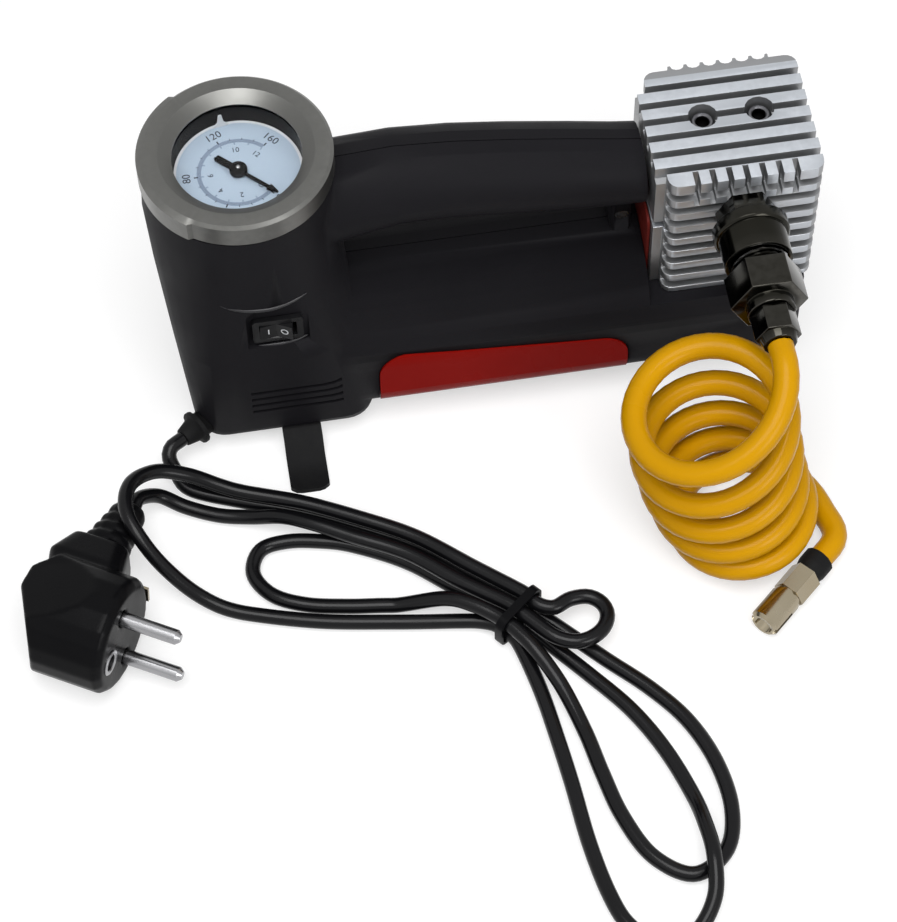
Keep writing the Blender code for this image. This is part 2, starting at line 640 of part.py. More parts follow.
def smooth_route(points, spacing):
    """Return points at an even spacing on a smooth curve through the given points."""
    route = [Vector(p) for p in points]
    route = [2 * route[0] - route[1]] + route + [2 * route[-1] - route[-2]]
    fine = []
    for a, b, c, d in zip(route, route[1:], route[2:], route[3:]):
        for i in range(12):
            t = i / 12
            fine.append(0.5 * (2 * b + (c - a) * t + (2 * a - 5 * b + 4 * c - d) * t ** 2
                               + (3 * b - a - 3 * c + d) * t ** 3))
    fine.append(route[-2])
    lengths = [0.0]
    for a, b in zip(fine, fine[1:]):
        lengths.append(lengths[-1] + (b - a).length)
    count = max(2, round(lengths[-1] / spacing))
    even, k = [], 0
    for i in range(count + 1):
        want = lengths[-1] * i / count
        while k < len(fine) - 2 and lengths[k + 1] < want:
            k += 1
        share = (want - lengths[k]) / max(lengths[k + 1] - lengths[k], 1e-9)
        even.append(fine[k].lerp(fine[k + 1], min(share, 1.0)))
    return even


def tube(name, points, radius, finish_name, bevel_resolution=2):
    """Make a curve object that runs a round tube with closed ends through the points."""
    curve = bpy.data.curves.new(name, "CURVE")
    curve.dimensions = "3D"
    curve.bevel_depth = radius
    curve.bevel_resolution = bevel_resolution
    curve.use_fill_caps = True
    spline = curve.splines.new("POLY")
    spline.points.add(len(points) - 1)
    for place, point in zip(spline.points, points):
        place.co = (*point, 1.0)
    obj = bpy.data.objects.new(name, curve)
    bpy.context.scene.collection.objects.link(obj)
    if finish_name:
        curve.materials.append(finish(finish_name))
    return obj


def as_mesh(curve_object):
    """Turn a curve object into a mesh object of the same shape."""
    bpy.context.view_layer.update()
    graph = bpy.context.evaluated_depsgraph_get()
    bm = bmesh.new()
    bm.from_mesh(bpy.data.meshes.new_from_object(curve_object.evaluated_get(graph)))
    name = curve_object.name
    bpy.data.objects.remove(curve_object)
    return solid(name, bm, None)


def least_gap(points, diameter, skip):
    """Return the least gap of a tube to itself, leaving out near points along it."""
    least = math.inf
    for i, a in enumerate(points[:-1]):
        b = points[i + 1]
        for j in range(i + skip, len(points) - 1):
            for s in (0.0, 0.25, 0.5, 0.75):
                p = a.lerp(b, s)
                for t in (0.0, 0.25, 0.5, 0.75):
                    least = min(least, (p - points[j].lerp(points[j + 1], t)).length)
    return least - diameter


# Housing

def column_ring(level, inset=0.0):
    """Return one ring of the column, drawn in by the inset."""
    z, left, right, half_depth, corner = level
    outline = rounded_outline(GAUGE_X - left + inset, GAUGE_X + right - inset, -half_depth + inset,
                              half_depth - inset, max(corner - inset, 0.002), 7)
    return [(x, y, z) for x, y in outline]


def column_level(z):
    """Return the column's section at a height, between its given levels."""
    for low, high in zip(COLUMN_LEVELS, COLUMN_LEVELS[1:]):
        if low[0] <= z <= high[0]:
            t = (z - low[0]) / (high[0] - low[0])
            return (z, *(a + (b - a) * t for a, b in zip(low[1:], high[1:])))
    return COLUMN_LEVELS[-1]


def barrel_outline(inset=0.0):
    """Return the barrel's section in Y and Z: round lower corners and an elliptic arch."""
    half = BARREL_HALF_WIDTH - inset
    low = BARREL_BOTTOM + inset
    corner = max(BARREL_CORNER - inset, 0.002)
    crest = BARREL_CREST - BARREL_SPRING - inset
    return (arc(half - corner, low + corner, corner, -90, 0, 6)
            + arc(0.0, BARREL_SPRING, half, 0, 180, 22, crest)
            + arc(-half + corner, low + corner, corner, 180, 270, 6))


def handle_station(share):
    """Return x, middle height, half height and half width of the handle at a share of its length."""
    for low, high in zip(HANDLE_STATIONS, HANDLE_STATIONS[1:]):
        if low[0] <= share <= high[0]:
            t = (share - low[0]) / (high[0] - low[0])
            crest, tall, wide = (a + (b - a) * t for a, b in zip(low[1:], high[1:]))
            return HANDLE_LEFT + (BARREL_END - HANDLE_LEFT) * share, crest - tall, tall, wide
    return None


def handle_loft():
    """Return the handle as a skin through its stations."""
    rings = []
    for share, *_ in HANDLE_STATIONS:
        x, middle, tall, wide = handle_station(share)
        rings.append([(x, y, z) for y, z in arc(0.0, middle, wide, 0, 360, HANDLE_SIDES, tall)[:-1]])
    return loft(rings)


def air_line_route():
    """Return the air line's way from the head's flange through the handle to the gauge stem."""
    down_x = GAUGE_X + COLUMN_NECK - 0.0030
    inner = [handle_station(share) for share in (0.985, 0.93, 0.80, 0.62, 0.45, 0.28)]
    points = [(x, 0.0, z) for x, z, _, _ in inner]
    top_z = handle_station(0.10)[1]
    stem_z = COLUMN_TOP - CASE_DEPTH - STEM_LENGTH
    points += [(down_x + 0.0080, 0.0, top_z + LAP), (down_x + 0.0020, 0.0, top_z - 0.0040),
               (down_x, 0.0, top_z - 0.0110), (down_x - 0.0020, 0.0, stem_z + 0.0120),
               (down_x - LINE_BEND, 0.0, stem_z + 0.0050),
               (GAUGE_X + STEM_RADIUS + GAP + 0.0040, 0.0, stem_z + 0.0045),
               (GAUGE_X + STEM_RADIUS + GAP, 0.0, stem_z + 0.0045)]
    return smooth_route(points, 0.0060)


def panel_outline(grow):
    """Return the red panel's outline in X and Z, grown by a clearance."""
    left = GAUGE_X + COLUMN_BASE_RIGHT + PANEL_LEFT_INSET - grow
    right = BARREL_END - PANEL_RIGHT_INSET + grow
    r = PANEL_CORNER + grow
    top_left = PANEL_TOP_LEFT + grow
    top_right = PANEL_TOP_RIGHT + grow
    low = BARREL_BOTTOM - 0.004
    return ([(left, low), (right, low)] + arc(right - r, top_right - r, r, 0, 82, 6)
            + arc(left + r, top_left - r, r, 94, 180, 6))


def panel_shape(grow, outer, inner, side):
    """Return the panel's solid: a strip of the barrel's skin inside the panel's outline."""
    end = 0.5
    strip = solid("panel_strip", prism(barrel_outline(-outer), -end, end, "X"), None)
    cut(strip, prism(barrel_outline(inner), -2 * end, 2 * end, "X"))
    reach = BARREL_HALF_WIDTH + CUT
    inside = PANEL_UNDER - grow
    window = prism(panel_outline(grow), *sorted((side * inside, side * reach)), axis="Y")
    return combine(strip, solid("panel_window", window, None), "INTERSECT")


def gland_frame():
    """Return the gland's axis direction and the corner point from which it runs."""
    level = column_level(GLAND_Z)
    a = math.radians(GLAND_HEADING)
    heading = Vector((math.cos(a), math.sin(a), 0.0))
    corner = Vector((GAUGE_X - level[1] + level[4], -level[3] + level[4], GLAND_Z))
    return heading, corner, level[4]


def strip_x():
    """Return the middle of the stand strip along X."""
    return GAUGE_X + STRIP_DX


def switch_place():
    """Return the switch's middle in X and the plane of its recess floor."""
    level = column_level(SWITCH_Z)
    return GAUGE_X + SWITCH_DX, -level[3] + SWITCH_RECESS


def screw_in_handle(share):
    """Return x, z and the handle's half width where a handle screw passes."""
    x, middle, tall, wide = handle_station(share)
    z = middle - HANDLE_SCREW_DROP
    return x, z, wide * math.sqrt(1 - (HANDLE_SCREW_DROP / tall) ** 2)


def post_screw_place():
    """Return x and z of the screw in the post under the handle."""
    x = BARREL_END - POST_LEFT + POST_LENGTH / 2
    return x, (BARREL_CREST + handle_station(0.93)[1] - handle_station(0.93)[2]) / 2


def case_screw_head(half):
    """Return how far from the parting plane a case screw's head begins."""
    return half - CASE_SCREW_SINK - CASE_SCREW_HEAD_LENGTH


def case_screw(half, length, side):
    """Return a case screw along Y; its head is sunk below the face at the half width on one side."""
    under = case_screw_head(half)
    head = under + CASE_SCREW_HEAD_LENGTH
    end = under - length
    bm = turned([(0.0, end), (CASE_SCREW_SHANK, end), (CASE_SCREW_SHANK, under), (CASE_SCREW_HEAD, under),
                 (CASE_SCREW_HEAD, head), (0.0, head)], SMALL_ROUND, "-Y")
    if side > 0:
        bmesh.ops.rotate(bm, verts=bm.verts, matrix=Matrix.Rotation(math.pi, 3, "Z"))
    return bm


def case_screw_hole(half, length, side, place):
    """Return the stepped hole for a case screw."""
    under = case_screw_head(half) - GAP
    end = under - length
    out = half + WALL
    wide, narrow = CASE_SCREW_HEAD + GAP, CASE_SCREW_SHANK + GAP
    bm = turned([(0.0, end), (narrow, end), (narrow, under), (wide, under), (wide, out), (0.0, out)],
                SMALL_ROUND, "-Y")
    if side > 0:
        bmesh.ops.rotate(bm, verts=bm.verts, matrix=Matrix.Rotation(math.pi, 3, "Z"))
    bmesh.ops.translate(bm, verts=bm.verts, vec=place)
    return bm


def build_housing():
    """Make both housing halves: fuse column, barrel, deck, handle and post, hollow them, part them."""
    shell = solid("housing", loft([column_ring(level) for level in COLUMN_LEVELS]), "black_plastic")
    barrel = solid("barrel", prism(barrel_outline(), GAUGE_X, DECK_RIGHT, "X"), None)
    wide = BARREL_HALF_WIDTH + CLEAR
    plan = rounded_outline(GAUGE_X - 2 * CUT, DECK_RIGHT, -wide, wide, DECK_CORNER)
    combine(barrel, solid("plan", prism(plan, 0.0, HEAD_TOP), None), "INTERSECT")
    wide = BARREL_HALF_WIDTH + CUT
    cut(barrel, box((BARREL_END, -wide, DECK_Z), (DECK_RIGHT + CUT, wide, HEAD_TOP)))
    combine(shell, barrel, "UNION")
    join(shell, handle_loft())
    post = BARREL_END - POST_LEFT
    handle_mid = handle_station(0.93)[1]
    join(shell, prism(rounded_outline(post, post + POST_LENGTH, -POST_HALF, POST_HALF, 0.002, 3),
                      BARREL_CREST - 0.004, handle_mid))
    hollow_housing(shell)
    pierce_housing(shell)
    reach = LENGTH
    rear = shell.copy()
    rear.data = shell.data.copy()
    rear.name = "housing_rear"
    bpy.context.scene.collection.objects.link(rear)
    shell.name = "housing_front"
    cut(shell, box((-reach, -GAP / 2, -reach), (reach, reach, reach)))
    cut(rear, box((-reach, -reach, -reach), (reach, GAP / 2, reach)))


def hollow_housing(shell):
    """Take the inner spaces out of the housing."""
    pocket_floor = COLUMN_TOP - CASE_DEPTH - GAP
    top = pocket_floor - WALL
    levels = [column_level(BASE_Z + WALL)] + [lv for lv in COLUMN_LEVELS[2:] if lv[0] < top - 0.004]
    levels.append(column_level(top))
    cut(shell, loft([column_ring(level, WALL) for level in levels]))
    case = WINDOW_RADIUS + LENS_LAP
    cut(shell, rod(case + GAP, pocket_floor, COLUMN_TOP + CUT, ROUND, centre=(GAUGE_X, 0, 0)))
    cut(shell, rod(STEM_RADIUS + GAP, top - 0.005, pocket_floor + CLEAR, SMALL_ROUND, centre=(GAUGE_X, 0, 0)))
    left = GAUGE_X + COLUMN_BASE_RIGHT - 0.012
    space = solid("motor_space", prism(barrel_outline(WALL), left, DECK_RIGHT - WALL, "X"), None)
    wide = BARREL_HALF_WIDTH
    cut(space, box((BARREL_END - WALL, -wide, DECK_Z - WALL), (LENGTH, wide, HEAD_TOP)))
    combine(shell, space, "DIFFERENCE")
    cut(shell, rod(NOSE_RADIUS + GAP, BARREL_END - 2 * WALL, BARREL_END, SMALL_ROUND, "X", (0, 0, MOTOR_Z)))
    cut(shell, rod(BORE_RADIUS, DECK_Z - 2 * WALL, DECK_Z + WALL, ROUND, centre=(HEAD_X, CYLINDER_Y, 0)))
    combine(shell, as_mesh(tube("channel", air_line_route(), CHANNEL_RADIUS, None, 2)), "DIFFERENCE")
    line_end = handle_station(1.0)
    cut(shell, rod(CHANNEL_RADIUS, handle_station(0.97)[0], BARREL_END + CUT, 12, "X", (0, 0, line_end[1])))


def pierce_housing(shell):
    """Cut the switch recess, vents, panel seats, gland, foot and screw holes."""
    x, floor_y = switch_place()
    half_w = SWITCH_WIDTH / 2 + RECESS_MARGIN
    half_h = SWITCH_HEIGHT / 2 + RECESS_MARGIN
    front = -COLUMN_HALF_DEPTH - CUT
    lip = ([(x - half_w, SWITCH_Z - half_h), (x + half_w, SWITCH_Z - half_h)]
           + arc(x, SWITCH_Z + half_h, half_w, 0, 180, 10, RECESS_RISE))
    cut(shell, prism(lip, front, floor_y, "Y"))
    w = SWITCH_WIDTH / 2 - SWITCH_RIM + GAP
    h = SWITCH_HEIGHT / 2 - SWITCH_RIM + GAP
    cut(shell, box((x - w, front, SWITCH_Z - h), (x + w, floor_y + 2 * WALL, SWITCH_Z + h)))
    vent_x = GAUGE_X + VENT_DX
    slots = []
    for k in range(VENT_COUNT):
        z = VENT_Z + k * VENT_PITCH
        slots.append(box((vent_x - VENT_LENGTH / 2, front, z - VENT_HEIGHT / 2),
                         (vent_x + VENT_LENGTH / 2, -COLUMN_HALF_DEPTH + 2 * WALL, z + VENT_HEIGHT / 2)))
    cut(shell, merged(slots))
    for side in (-1, 1):
        combine(shell, panel_shape(GAP, CUT, PANEL_THICK - PANEL_PROUD + GAP, side), "DIFFERENCE")
    heading, corner, radius = gland_frame()
    turn = Matrix.Translation(corner) @ heading.to_track_quat("Z", "Y").to_matrix().to_4x4()
    hole = rod(GLAND_RADIUS + GAP, 0.0, radius + 2 * CUT)
    bmesh.ops.transform(hole, matrix=turn, verts=hole.verts)
    cut(shell, hole)
    foot_x = DECK_RIGHT - FOOT_INSET_X
    for y in (-FOOT_Y, FOOT_Y):
        cut(shell, rod(FOOT_STUD + GAP, 0.0, BARREL_BOTTOM + 2 * WALL, 12, centre=(foot_x, y, 0)))
    for share in HANDLE_SCREW_STATIONS:
        sx, sz, half = screw_in_handle(share)
        cut(shell, case_screw_hole(half, HANDLE_SCREW_LENGTH, 1, (sx, 0.0, sz)))
    px, pz = post_screw_place()
    cut(shell, case_screw_hole(POST_HALF, POST_SCREW_LENGTH, -1, (px, 0.0, pz)))


def build_trim():
    """Make the red panels, the gland, the stand strip, the feet and the case screws."""
    for side, name in ((-1, "side_panel_front"), (1, "side_panel_rear")):
        panel = panel_shape(0.0, PANEL_PROUD, PANEL_THICK - PANEL_PROUD, side)
        panel.name = name
        panel.data.materials.append(finish("red_plastic"))
    heading, corner, radius = gland_frame()
    turn = Matrix.Translation(corner) @ heading.to_track_quat("Z", "Y").to_matrix().to_4x4()
    out = radius + GLAND_REACH
    gland = turned([(0.0, radius - GLAND_INSIDE), (GLAND_RADIUS, radius - GLAND_INSIDE),
                    (GLAND_RADIUS, radius + 0.0012), (GLAND_RADIUS + GLAND_FLANGE, radius + 0.0016),
                    (GLAND_RADIUS + GLAND_FLANGE, radius + 0.0030), (GLAND_RADIUS, radius + 0.0034),
                    (GLAND_TIP, out), (0.0, out)], SMALL_ROUND)
    solid("cord_gland", gland, "black_rubber", turn=turn)
    build_strip()
    foot_x = DECK_RIGHT - FOOT_INSET_X
    top = BARREL_BOTTOM - GAP
    for y, name in ((-FOOT_Y, "rubber_foot_front"), (FOOT_Y, "rubber_foot_rear")):
        profile = [(0.0, 0.0), (FOOT_RADIUS - FINE_EDGE, 0.0), (FOOT_RADIUS, FINE_EDGE),
                   (FOOT_RADIUS - EDGE, top), (FOOT_STUD, top), (FOOT_STUD, top + WALL), (0.0, top + WALL)]
        solid(name, turned(profile, SMALL_ROUND, centre=(foot_x, y, 0)), "black_rubber")
    for share, name in zip(HANDLE_SCREW_STATIONS, ("handle_screw_left", "handle_screw_right")):
        sx, sz, half = screw_in_handle(share)
        screw = case_screw(half, HANDLE_SCREW_LENGTH, 1)
        solid(name, screw, "steel", turn=Matrix.Translation((sx, 0.0, sz)))
    px, pz = post_screw_place()
    screw = case_screw(POST_HALF, POST_SCREW_LENGTH, -1)
    solid("post_screw", screw, "steel", turn=Matrix.Translation((px, 0.0, pz)))


def build_strip():
    """Make the bent stand strip: under the housing, down at both knees, out along the floor."""
    top = BASE_Z - GAP
    t = STRIP_THICK
    side = [(STRIP_KNEE, top), (STRIP_KNEE + STRIP_RUN, t), (STRIP_REACH, t), (STRIP_REACH, 0.0),
            (STRIP_KNEE + STRIP_RUN - t * 0.55, 0.0), (STRIP_KNEE - t * 0.55, top - t)]
    outline = side + [(-y, z) for y, z in reversed(side)]
    x = strip_x()
    half = STRIP_WIDTH / 2
    strip = solid("stand_strip", prism(outline, x - half, x + half, "X"), "black_paint")
    plan = rounded_outline(x - half - CLEAR, x + half + CLEAR, -STRIP_REACH, STRIP_REACH, STRIP_CORNER, 4)
    combine(strip, solid("strip_plan", prism(plan, -CUT, BASE_Z), None), "INTERSECT")


# Gauge and switch

def build_gauge():
    """Make the gauge from its bezel down to its stem."""
    centre = (GAUGE_X, 0.0, 0.0)
    top = GAUGE_TOP
    low = COLUMN_TOP + GAP
    lens_low = low + LENS_RISE
    lens_top = lens_low + LENS_THICK
    seat = WINDOW_RADIUS + LENS_LAP
    flat_in = BEZEL_RADIUS - BEZEL_CHAMFER - BEZEL_FLAT
    sill = lens_top + GAP
    profile = [(seat + 2 * GAP, low), (BEZEL_RADIUS, low), (BEZEL_RADIUS, top - BEZEL_CHAMFER),
               (BEZEL_RADIUS - BEZEL_CHAMFER, top), (flat_in, top), (WINDOW_RADIUS, sill + WINDOW_LIP),
               (WINDOW_RADIUS, sill), (seat + 2 * GAP, sill)]
    bezel = solid("gauge_bezel", turned(profile, BEZEL_ROUND, centre=centre), "satin_silver")
    sweep = [(GAUGE_X, 0.0)] + [(GAUGE_X + x, y) for x, y in
                                arc(0, 0, 2 * BEZEL_RADIUS, LOBE_START, LOBE_END, 6)]
    lobe = solid("lobe", ring(BEZEL_RADIUS + BEZEL_LOBE, BEZEL_RADIUS - BEZEL_FLAT / 2, low,
                              top - BEZEL_CHAMFER, BEZEL_ROUND, centre=centre), None)
    combine(lobe, solid("sweep", prism(sweep, 0.0, 2 * top), None), "INTERSECT")
    combine(bezel, lobe, "UNION")

    solid("gauge_lens", rod(seat, lens_low, lens_top, ROUND, centre=centre), "clear_lens")
    case_top = lens_low - GAP
    case_low = COLUMN_TOP - CASE_DEPTH
    inner = seat - CASE_WALL
    case = [(0.0, case_low), (seat, case_low), (seat, case_top), (inner, case_top),
            (inner, case_low + CASE_WALL), (0.0, case_low + CASE_WALL)]
    solid("gauge_case", turned(case, ROUND, centre=centre), "black_paint")
    dial_top = lens_low - DIAL_DROP
    dial = ring(inner - GAP, SPINDLE_RADIUS + GAP, dial_top - DIAL_THICK, dial_top, ROUND, centre=centre)
    solid("gauge_dial", dial, "white_dial")
    build_needle(dial_top)
    build_bourdon(case_low)
    stem_top = case_low - GAP
    stem = [(0.0, stem_top - STEM_LENGTH), (STEM_RADIUS - EDGE, stem_top - STEM_LENGTH),
            (STEM_RADIUS, stem_top - STEM_LENGTH + EDGE), (STEM_RADIUS, stem_top), (0.0, stem_top)]
    solid("gauge_stem", turned(stem, SMALL_ROUND, centre=centre), "brass")


def build_needle(dial_top):
    """Make the needle with its hub and spindle, its origin on its axis."""
    low = dial_top + 0.0008
    origin = (GAUGE_X, 0.0, low)
    half = NEEDLE_WIDTH / 2
    blade = [(NEEDLE_LENGTH, -half * 0.35), (NEEDLE_LENGTH, half * 0.35), (0.0, half),
             (-NEEDLE_TAIL * 0.45, half), (-NEEDLE_TAIL * 0.55, half * 1.9), (-NEEDLE_TAIL, half * 1.9),
             (-NEEDLE_TAIL, -half * 1.9), (-NEEDLE_TAIL * 0.55, -half * 1.9), (-NEEDLE_TAIL * 0.45, -half),
             (0.0, -half)]
    turn = Matrix.Translation((GAUGE_X, 0, 0)) @ Matrix.Rotation(math.radians(NEEDLE_HEADING), 4, "Z")
    needle = solid("gauge_needle", prism(blade, low, low + NEEDLE_THICK), "black_paint", origin, turn)
    hub = [(0.0, low - SPINDLE_DEPTH), (SPINDLE_RADIUS, low - SPINDLE_DEPTH), (SPINDLE_RADIUS, low - 0.0002),
           (NEEDLE_HUB, low - 0.0002), (NEEDLE_HUB, low + 0.0012), (NEEDLE_HUB * 0.6, low + 0.0017),
           (0.0, low + 0.0017)]
    join(needle, turned(hub, SMALL_ROUND, centre=(GAUGE_X, 0, 0)))


def build_bourdon(case_low):
    """Make the curved pressure tube under the dial."""
    z = case_low + CASE_WALL + GAP + BOURDON_TUBE + 0.0020
    steps = 16
    points = []
    for i in range(steps + 1):
        a = math.radians(-90 + BOURDON_SWEEP * i / steps)
        points.append((GAUGE_X + BOURDON_RADIUS * math.cos(a), BOURDON_RADIUS * math.sin(a), z))
    tube("bourdon_tube", points, BOURDON_TUBE, "brass", 1)


def build_switch():
    """Make the switch frame and the rocker that tilts in it about an upright axis."""
    x, floor_y = switch_place()
    face = floor_y - GAP
    front = face - SWITCH_FACE
    half_w, half_h = SWITCH_WIDTH / 2, SWITCH_HEIGHT / 2
    in_w, in_h = half_w - SWITCH_RIM, half_h - SWITCH_RIM
    frame = solid("switch_frame", prism(rounded_outline(x - half_w, x + half_w, SWITCH_Z - half_h,
                                                        SWITCH_Z + half_h, 0.0012, 3), front, face, "Y"),
                  "black_plastic")
    join(frame, box((x - in_w, face - LAP, SWITCH_Z - in_h), (x + in_w, face + SWITCH_BODY, SWITCH_Z + in_h)))
    win_w, win_h = in_w - 0.0008, in_h - 0.0008
    cut(frame, box((x - win_w, front - CUT, SWITCH_Z - win_h),
                   (x + win_w, face + ROCKER_DEPTH + EDGE, SWITCH_Z + win_h)))
    half = win_w - 0.0009
    pivot = (x, face + 0.0012, SWITCH_Z)
    crown = front - 0.0004
    rocker = [(-half, crown - pivot[1] - EDGE), (0.0, crown - pivot[1] + FINE_EDGE),
              (half, crown - pivot[1] - EDGE), (half, 0.0004), (half * 0.55, ROCKER_DEPTH * 0.45),
              (-half * 0.55, ROCKER_DEPTH * 0.45), (-half, 0.0004)]
    bm = prism(rocker, SWITCH_Z - win_h + RUNNING, SWITCH_Z + win_h - RUNNING)
    turn = Matrix.Translation((pivot[0], pivot[1], 0)) @ Matrix.Rotation(math.radians(-ROCKER_TILT), 4, "Z")
    solid("switch_rocker", bm, "black_plastic", pivot, turn)


# Motor and crank train

def gear_outline(teeth, phase):
    """Return a gear's outline about the origin, with a tooth at the given angle in radians."""
    pitch = TOOTH_MODULE * teeth / 2
    tip = pitch + 0.80 * TOOTH_MODULE
    root = pitch - 1.05 * TOOTH_MODULE
    half = math.pi * TOOTH_MODULE / 4 - TOOTH_BACKLASH
    points = []
    for k in range(teeth):
        a = phase + 2 * math.pi * k / teeth
        for radius, width in ((root, -1.35), (tip, -0.45), (tip, 0.45), (root, 1.35)):
            b = a + width * half / radius
            points.append((radius * math.cos(b), radius * math.sin(b)))
    return points


def mesh_angle():
    """Return the angle, in Y and Z, from the motor's axis to the crank's axis."""
    return math.atan2(CRANK_Z - MOTOR_Z, CYLINDER_Y)


def build_motor():
    """Make the motor's fixed can, cap and bearings and its turning armature, shaft, fan and pinion."""
    axis = (0.0, 0.0, MOTOR_Z)
    hole = BEARING_RADIUS + GAP
    can = [(hole, CAN_RIGHT), (hole, CAN_RIGHT + NOSE_LENGTH), (NOSE_RADIUS, CAN_RIGHT + NOSE_LENGTH),
           (NOSE_RADIUS, CAN_RIGHT), (CAN_RADIUS - 0.0012, CAN_RIGHT), (CAN_RADIUS, CAN_RIGHT - 0.0012),
           (CAN_RADIUS, CAN_LEFT), (CAN_RADIUS - CAN_WALL, CAN_LEFT),
           (CAN_RADIUS - CAN_WALL, CAN_RIGHT - CAN_WALL), (hole, CAN_RIGHT - CAN_WALL)]
    solid("motor_can", turned(can, 20, "X", axis), "steel")
    cap = [(hole, END_CAP_LEFT), (CAN_RADIUS, END_CAP_LEFT), (CAN_RADIUS, END_CAP_LEFT + END_CAP_THICK),
           (hole, END_CAP_LEFT + END_CAP_THICK)]
    solid("motor_end_cap", turned(cap, 20, "X", axis), "black_plastic")
    inner = SHAFT_RADIUS + RUNNING
    right = CAN_RIGHT + NOSE_LENGTH
    for name, left in (("bearing_front", right - BEARING_LENGTH), ("bearing_rear", END_CAP_LEFT)):
        solid(name, ring(BEARING_RADIUS, inner, left, left + BEARING_LENGTH, SMALL_ROUND, "X", axis), "brass")
    shaft = rod(SHAFT_RADIUS, FAN_LEFT - SHAFT_TAIL, GEAR_RIGHT + EDGE, SMALL_ROUND, "X", axis)
    solid("motor_shaft", shaft, "steel", axis)
    build_armature(axis)
    build_fan(axis)
    pinion = prism(gear_outline(PINION_TEETH, mesh_angle()), GEAR_LEFT - LAP, GEAR_RIGHT + LAP, "X")
    pinion = solid("pinion", pinion, "brass", axis, Matrix.Translation(axis))
    cut(pinion, rod(SHAFT_RADIUS + GAP / 2, GEAR_LEFT - CUT, GEAR_RIGHT + CUT, SMALL_ROUND, "X", axis))


def build_armature(axis):
    """Make the slotted armature core with its commutator, bored for the shaft."""
    middle = (CAN_LEFT + CAN_RIGHT) / 2 + 0.0030
    low, high = middle - ARMATURE_LENGTH / 2, middle + ARMATURE_LENGTH / 2
    bore = SHAFT_RADIUS + GAP / 2
    profile = [(bore, low - COMMUTATOR_LENGTH), (COMMUTATOR_RADIUS, low - COMMUTATOR_LENGTH),
               (COMMUTATOR_RADIUS, low), (ARMATURE_RADIUS, low), (ARMATURE_RADIUS, high), (bore, high)]
    core = solid("armature", turned(profile, 20, "X", axis), "copper", axis)
    slots = []
    for k in range(ARMATURE_SLOTS):
        slot = box((low - CLEAR, -SLOT_WIDTH / 2, ARMATURE_RADIUS * 0.55),
                   (high + CLEAR, SLOT_WIDTH / 2, ARMATURE_RADIUS + CLEAR))
        turn = Matrix.Translation(axis) @ Matrix.Rotation(2 * math.pi * k / ARMATURE_SLOTS, 4, "X")
        bmesh.ops.transform(slot, matrix=turn, verts=slot.verts)
        slots.append(slot)
    cut(core, merged(slots))


def build_fan(axis):
    """Make the radial cooling fan on the shaft's rear end."""
    bore = SHAFT_RADIUS + GAP / 2
    disc = FAN_LEFT + 0.0012
    profile = [(bore, FAN_LEFT), (FAN_RADIUS, FAN_LEFT), (FAN_RADIUS, disc), (FAN_HUB, disc),
               (FAN_HUB, FAN_RIGHT), (bore, FAN_RIGHT)]
    fan = solid("cooling_fan", turned(profile, 21, "X", axis), "white_nylon", axis)
    blades = []
    for k in range(FAN_BLADES):
        blade = box((disc - LAP, -FAN_BLADE / 2, FAN_HUB - LAP),
                    (FAN_RIGHT, FAN_BLADE / 2, FAN_RADIUS - EDGE))
        turn = Matrix.Translation(axis) @ Matrix.Rotation(2 * math.pi * k / FAN_BLADES, 4, "X")
        bmesh.ops.transform(blade, matrix=turn, verts=blade.verts)
        blades.append(blade)
    join(fan, merged(blades))


def build_crank():
    """Make the gear plate, its axle, the drive gear with its pin, and the piston with its cup."""
    axis = (0.0, CYLINDER_Y, CRANK_Z)
    plate_top = DECK_Z - WALL - GAP
    plate = prism(rounded_outline(-GEAR_PLATE_HALF, GEAR_PLATE_HALF, GEAR_PLATE_BOTTOM, plate_top, 0.004, 4),
                  GEAR_PLATE_LEFT, GEAR_PLATE_RIGHT, "X")
    plate = solid("gear_plate", plate, "cast_aluminium")
    for radius, place in ((SHAFT_RADIUS + 4 * GAP, (0, 0, MOTOR_Z)), (AXLE_RADIUS + GAP / 2, axis)):
        cut(plate, rod(radius, GEAR_PLATE_LEFT - CUT, GEAR_PLATE_RIGHT + CUT, SMALL_ROUND, "X", place))
    solid("gear_axle", rod(AXLE_RADIUS, GEAR_PLATE_LEFT, GEAR_RIGHT - EDGE, SMALL_ROUND, "X", axis), "steel")
    tooth = mesh_angle() + math.pi + math.pi / GEAR_TEETH
    gear = prism(gear_outline(GEAR_TEETH, tooth), GEAR_LEFT, GEAR_RIGHT, "X")
    gear = solid("drive_gear", gear, "white_nylon", axis, Matrix.Translation(axis))
    cut(gear, rod(AXLE_RADIUS + RUNNING, GEAR_LEFT - CUT, GEAR_RIGHT - 0.0007, SMALL_ROUND, "X", axis))
    pin = (0.0, CYLINDER_Y, CRANK_Z + CRANK_THROW)
    join(gear, rod(CRANK_PIN_RADIUS, GEAR_RIGHT - 0.0004, PIN_END, SMALL_ROUND, "X", pin))
    build_piston(pin)


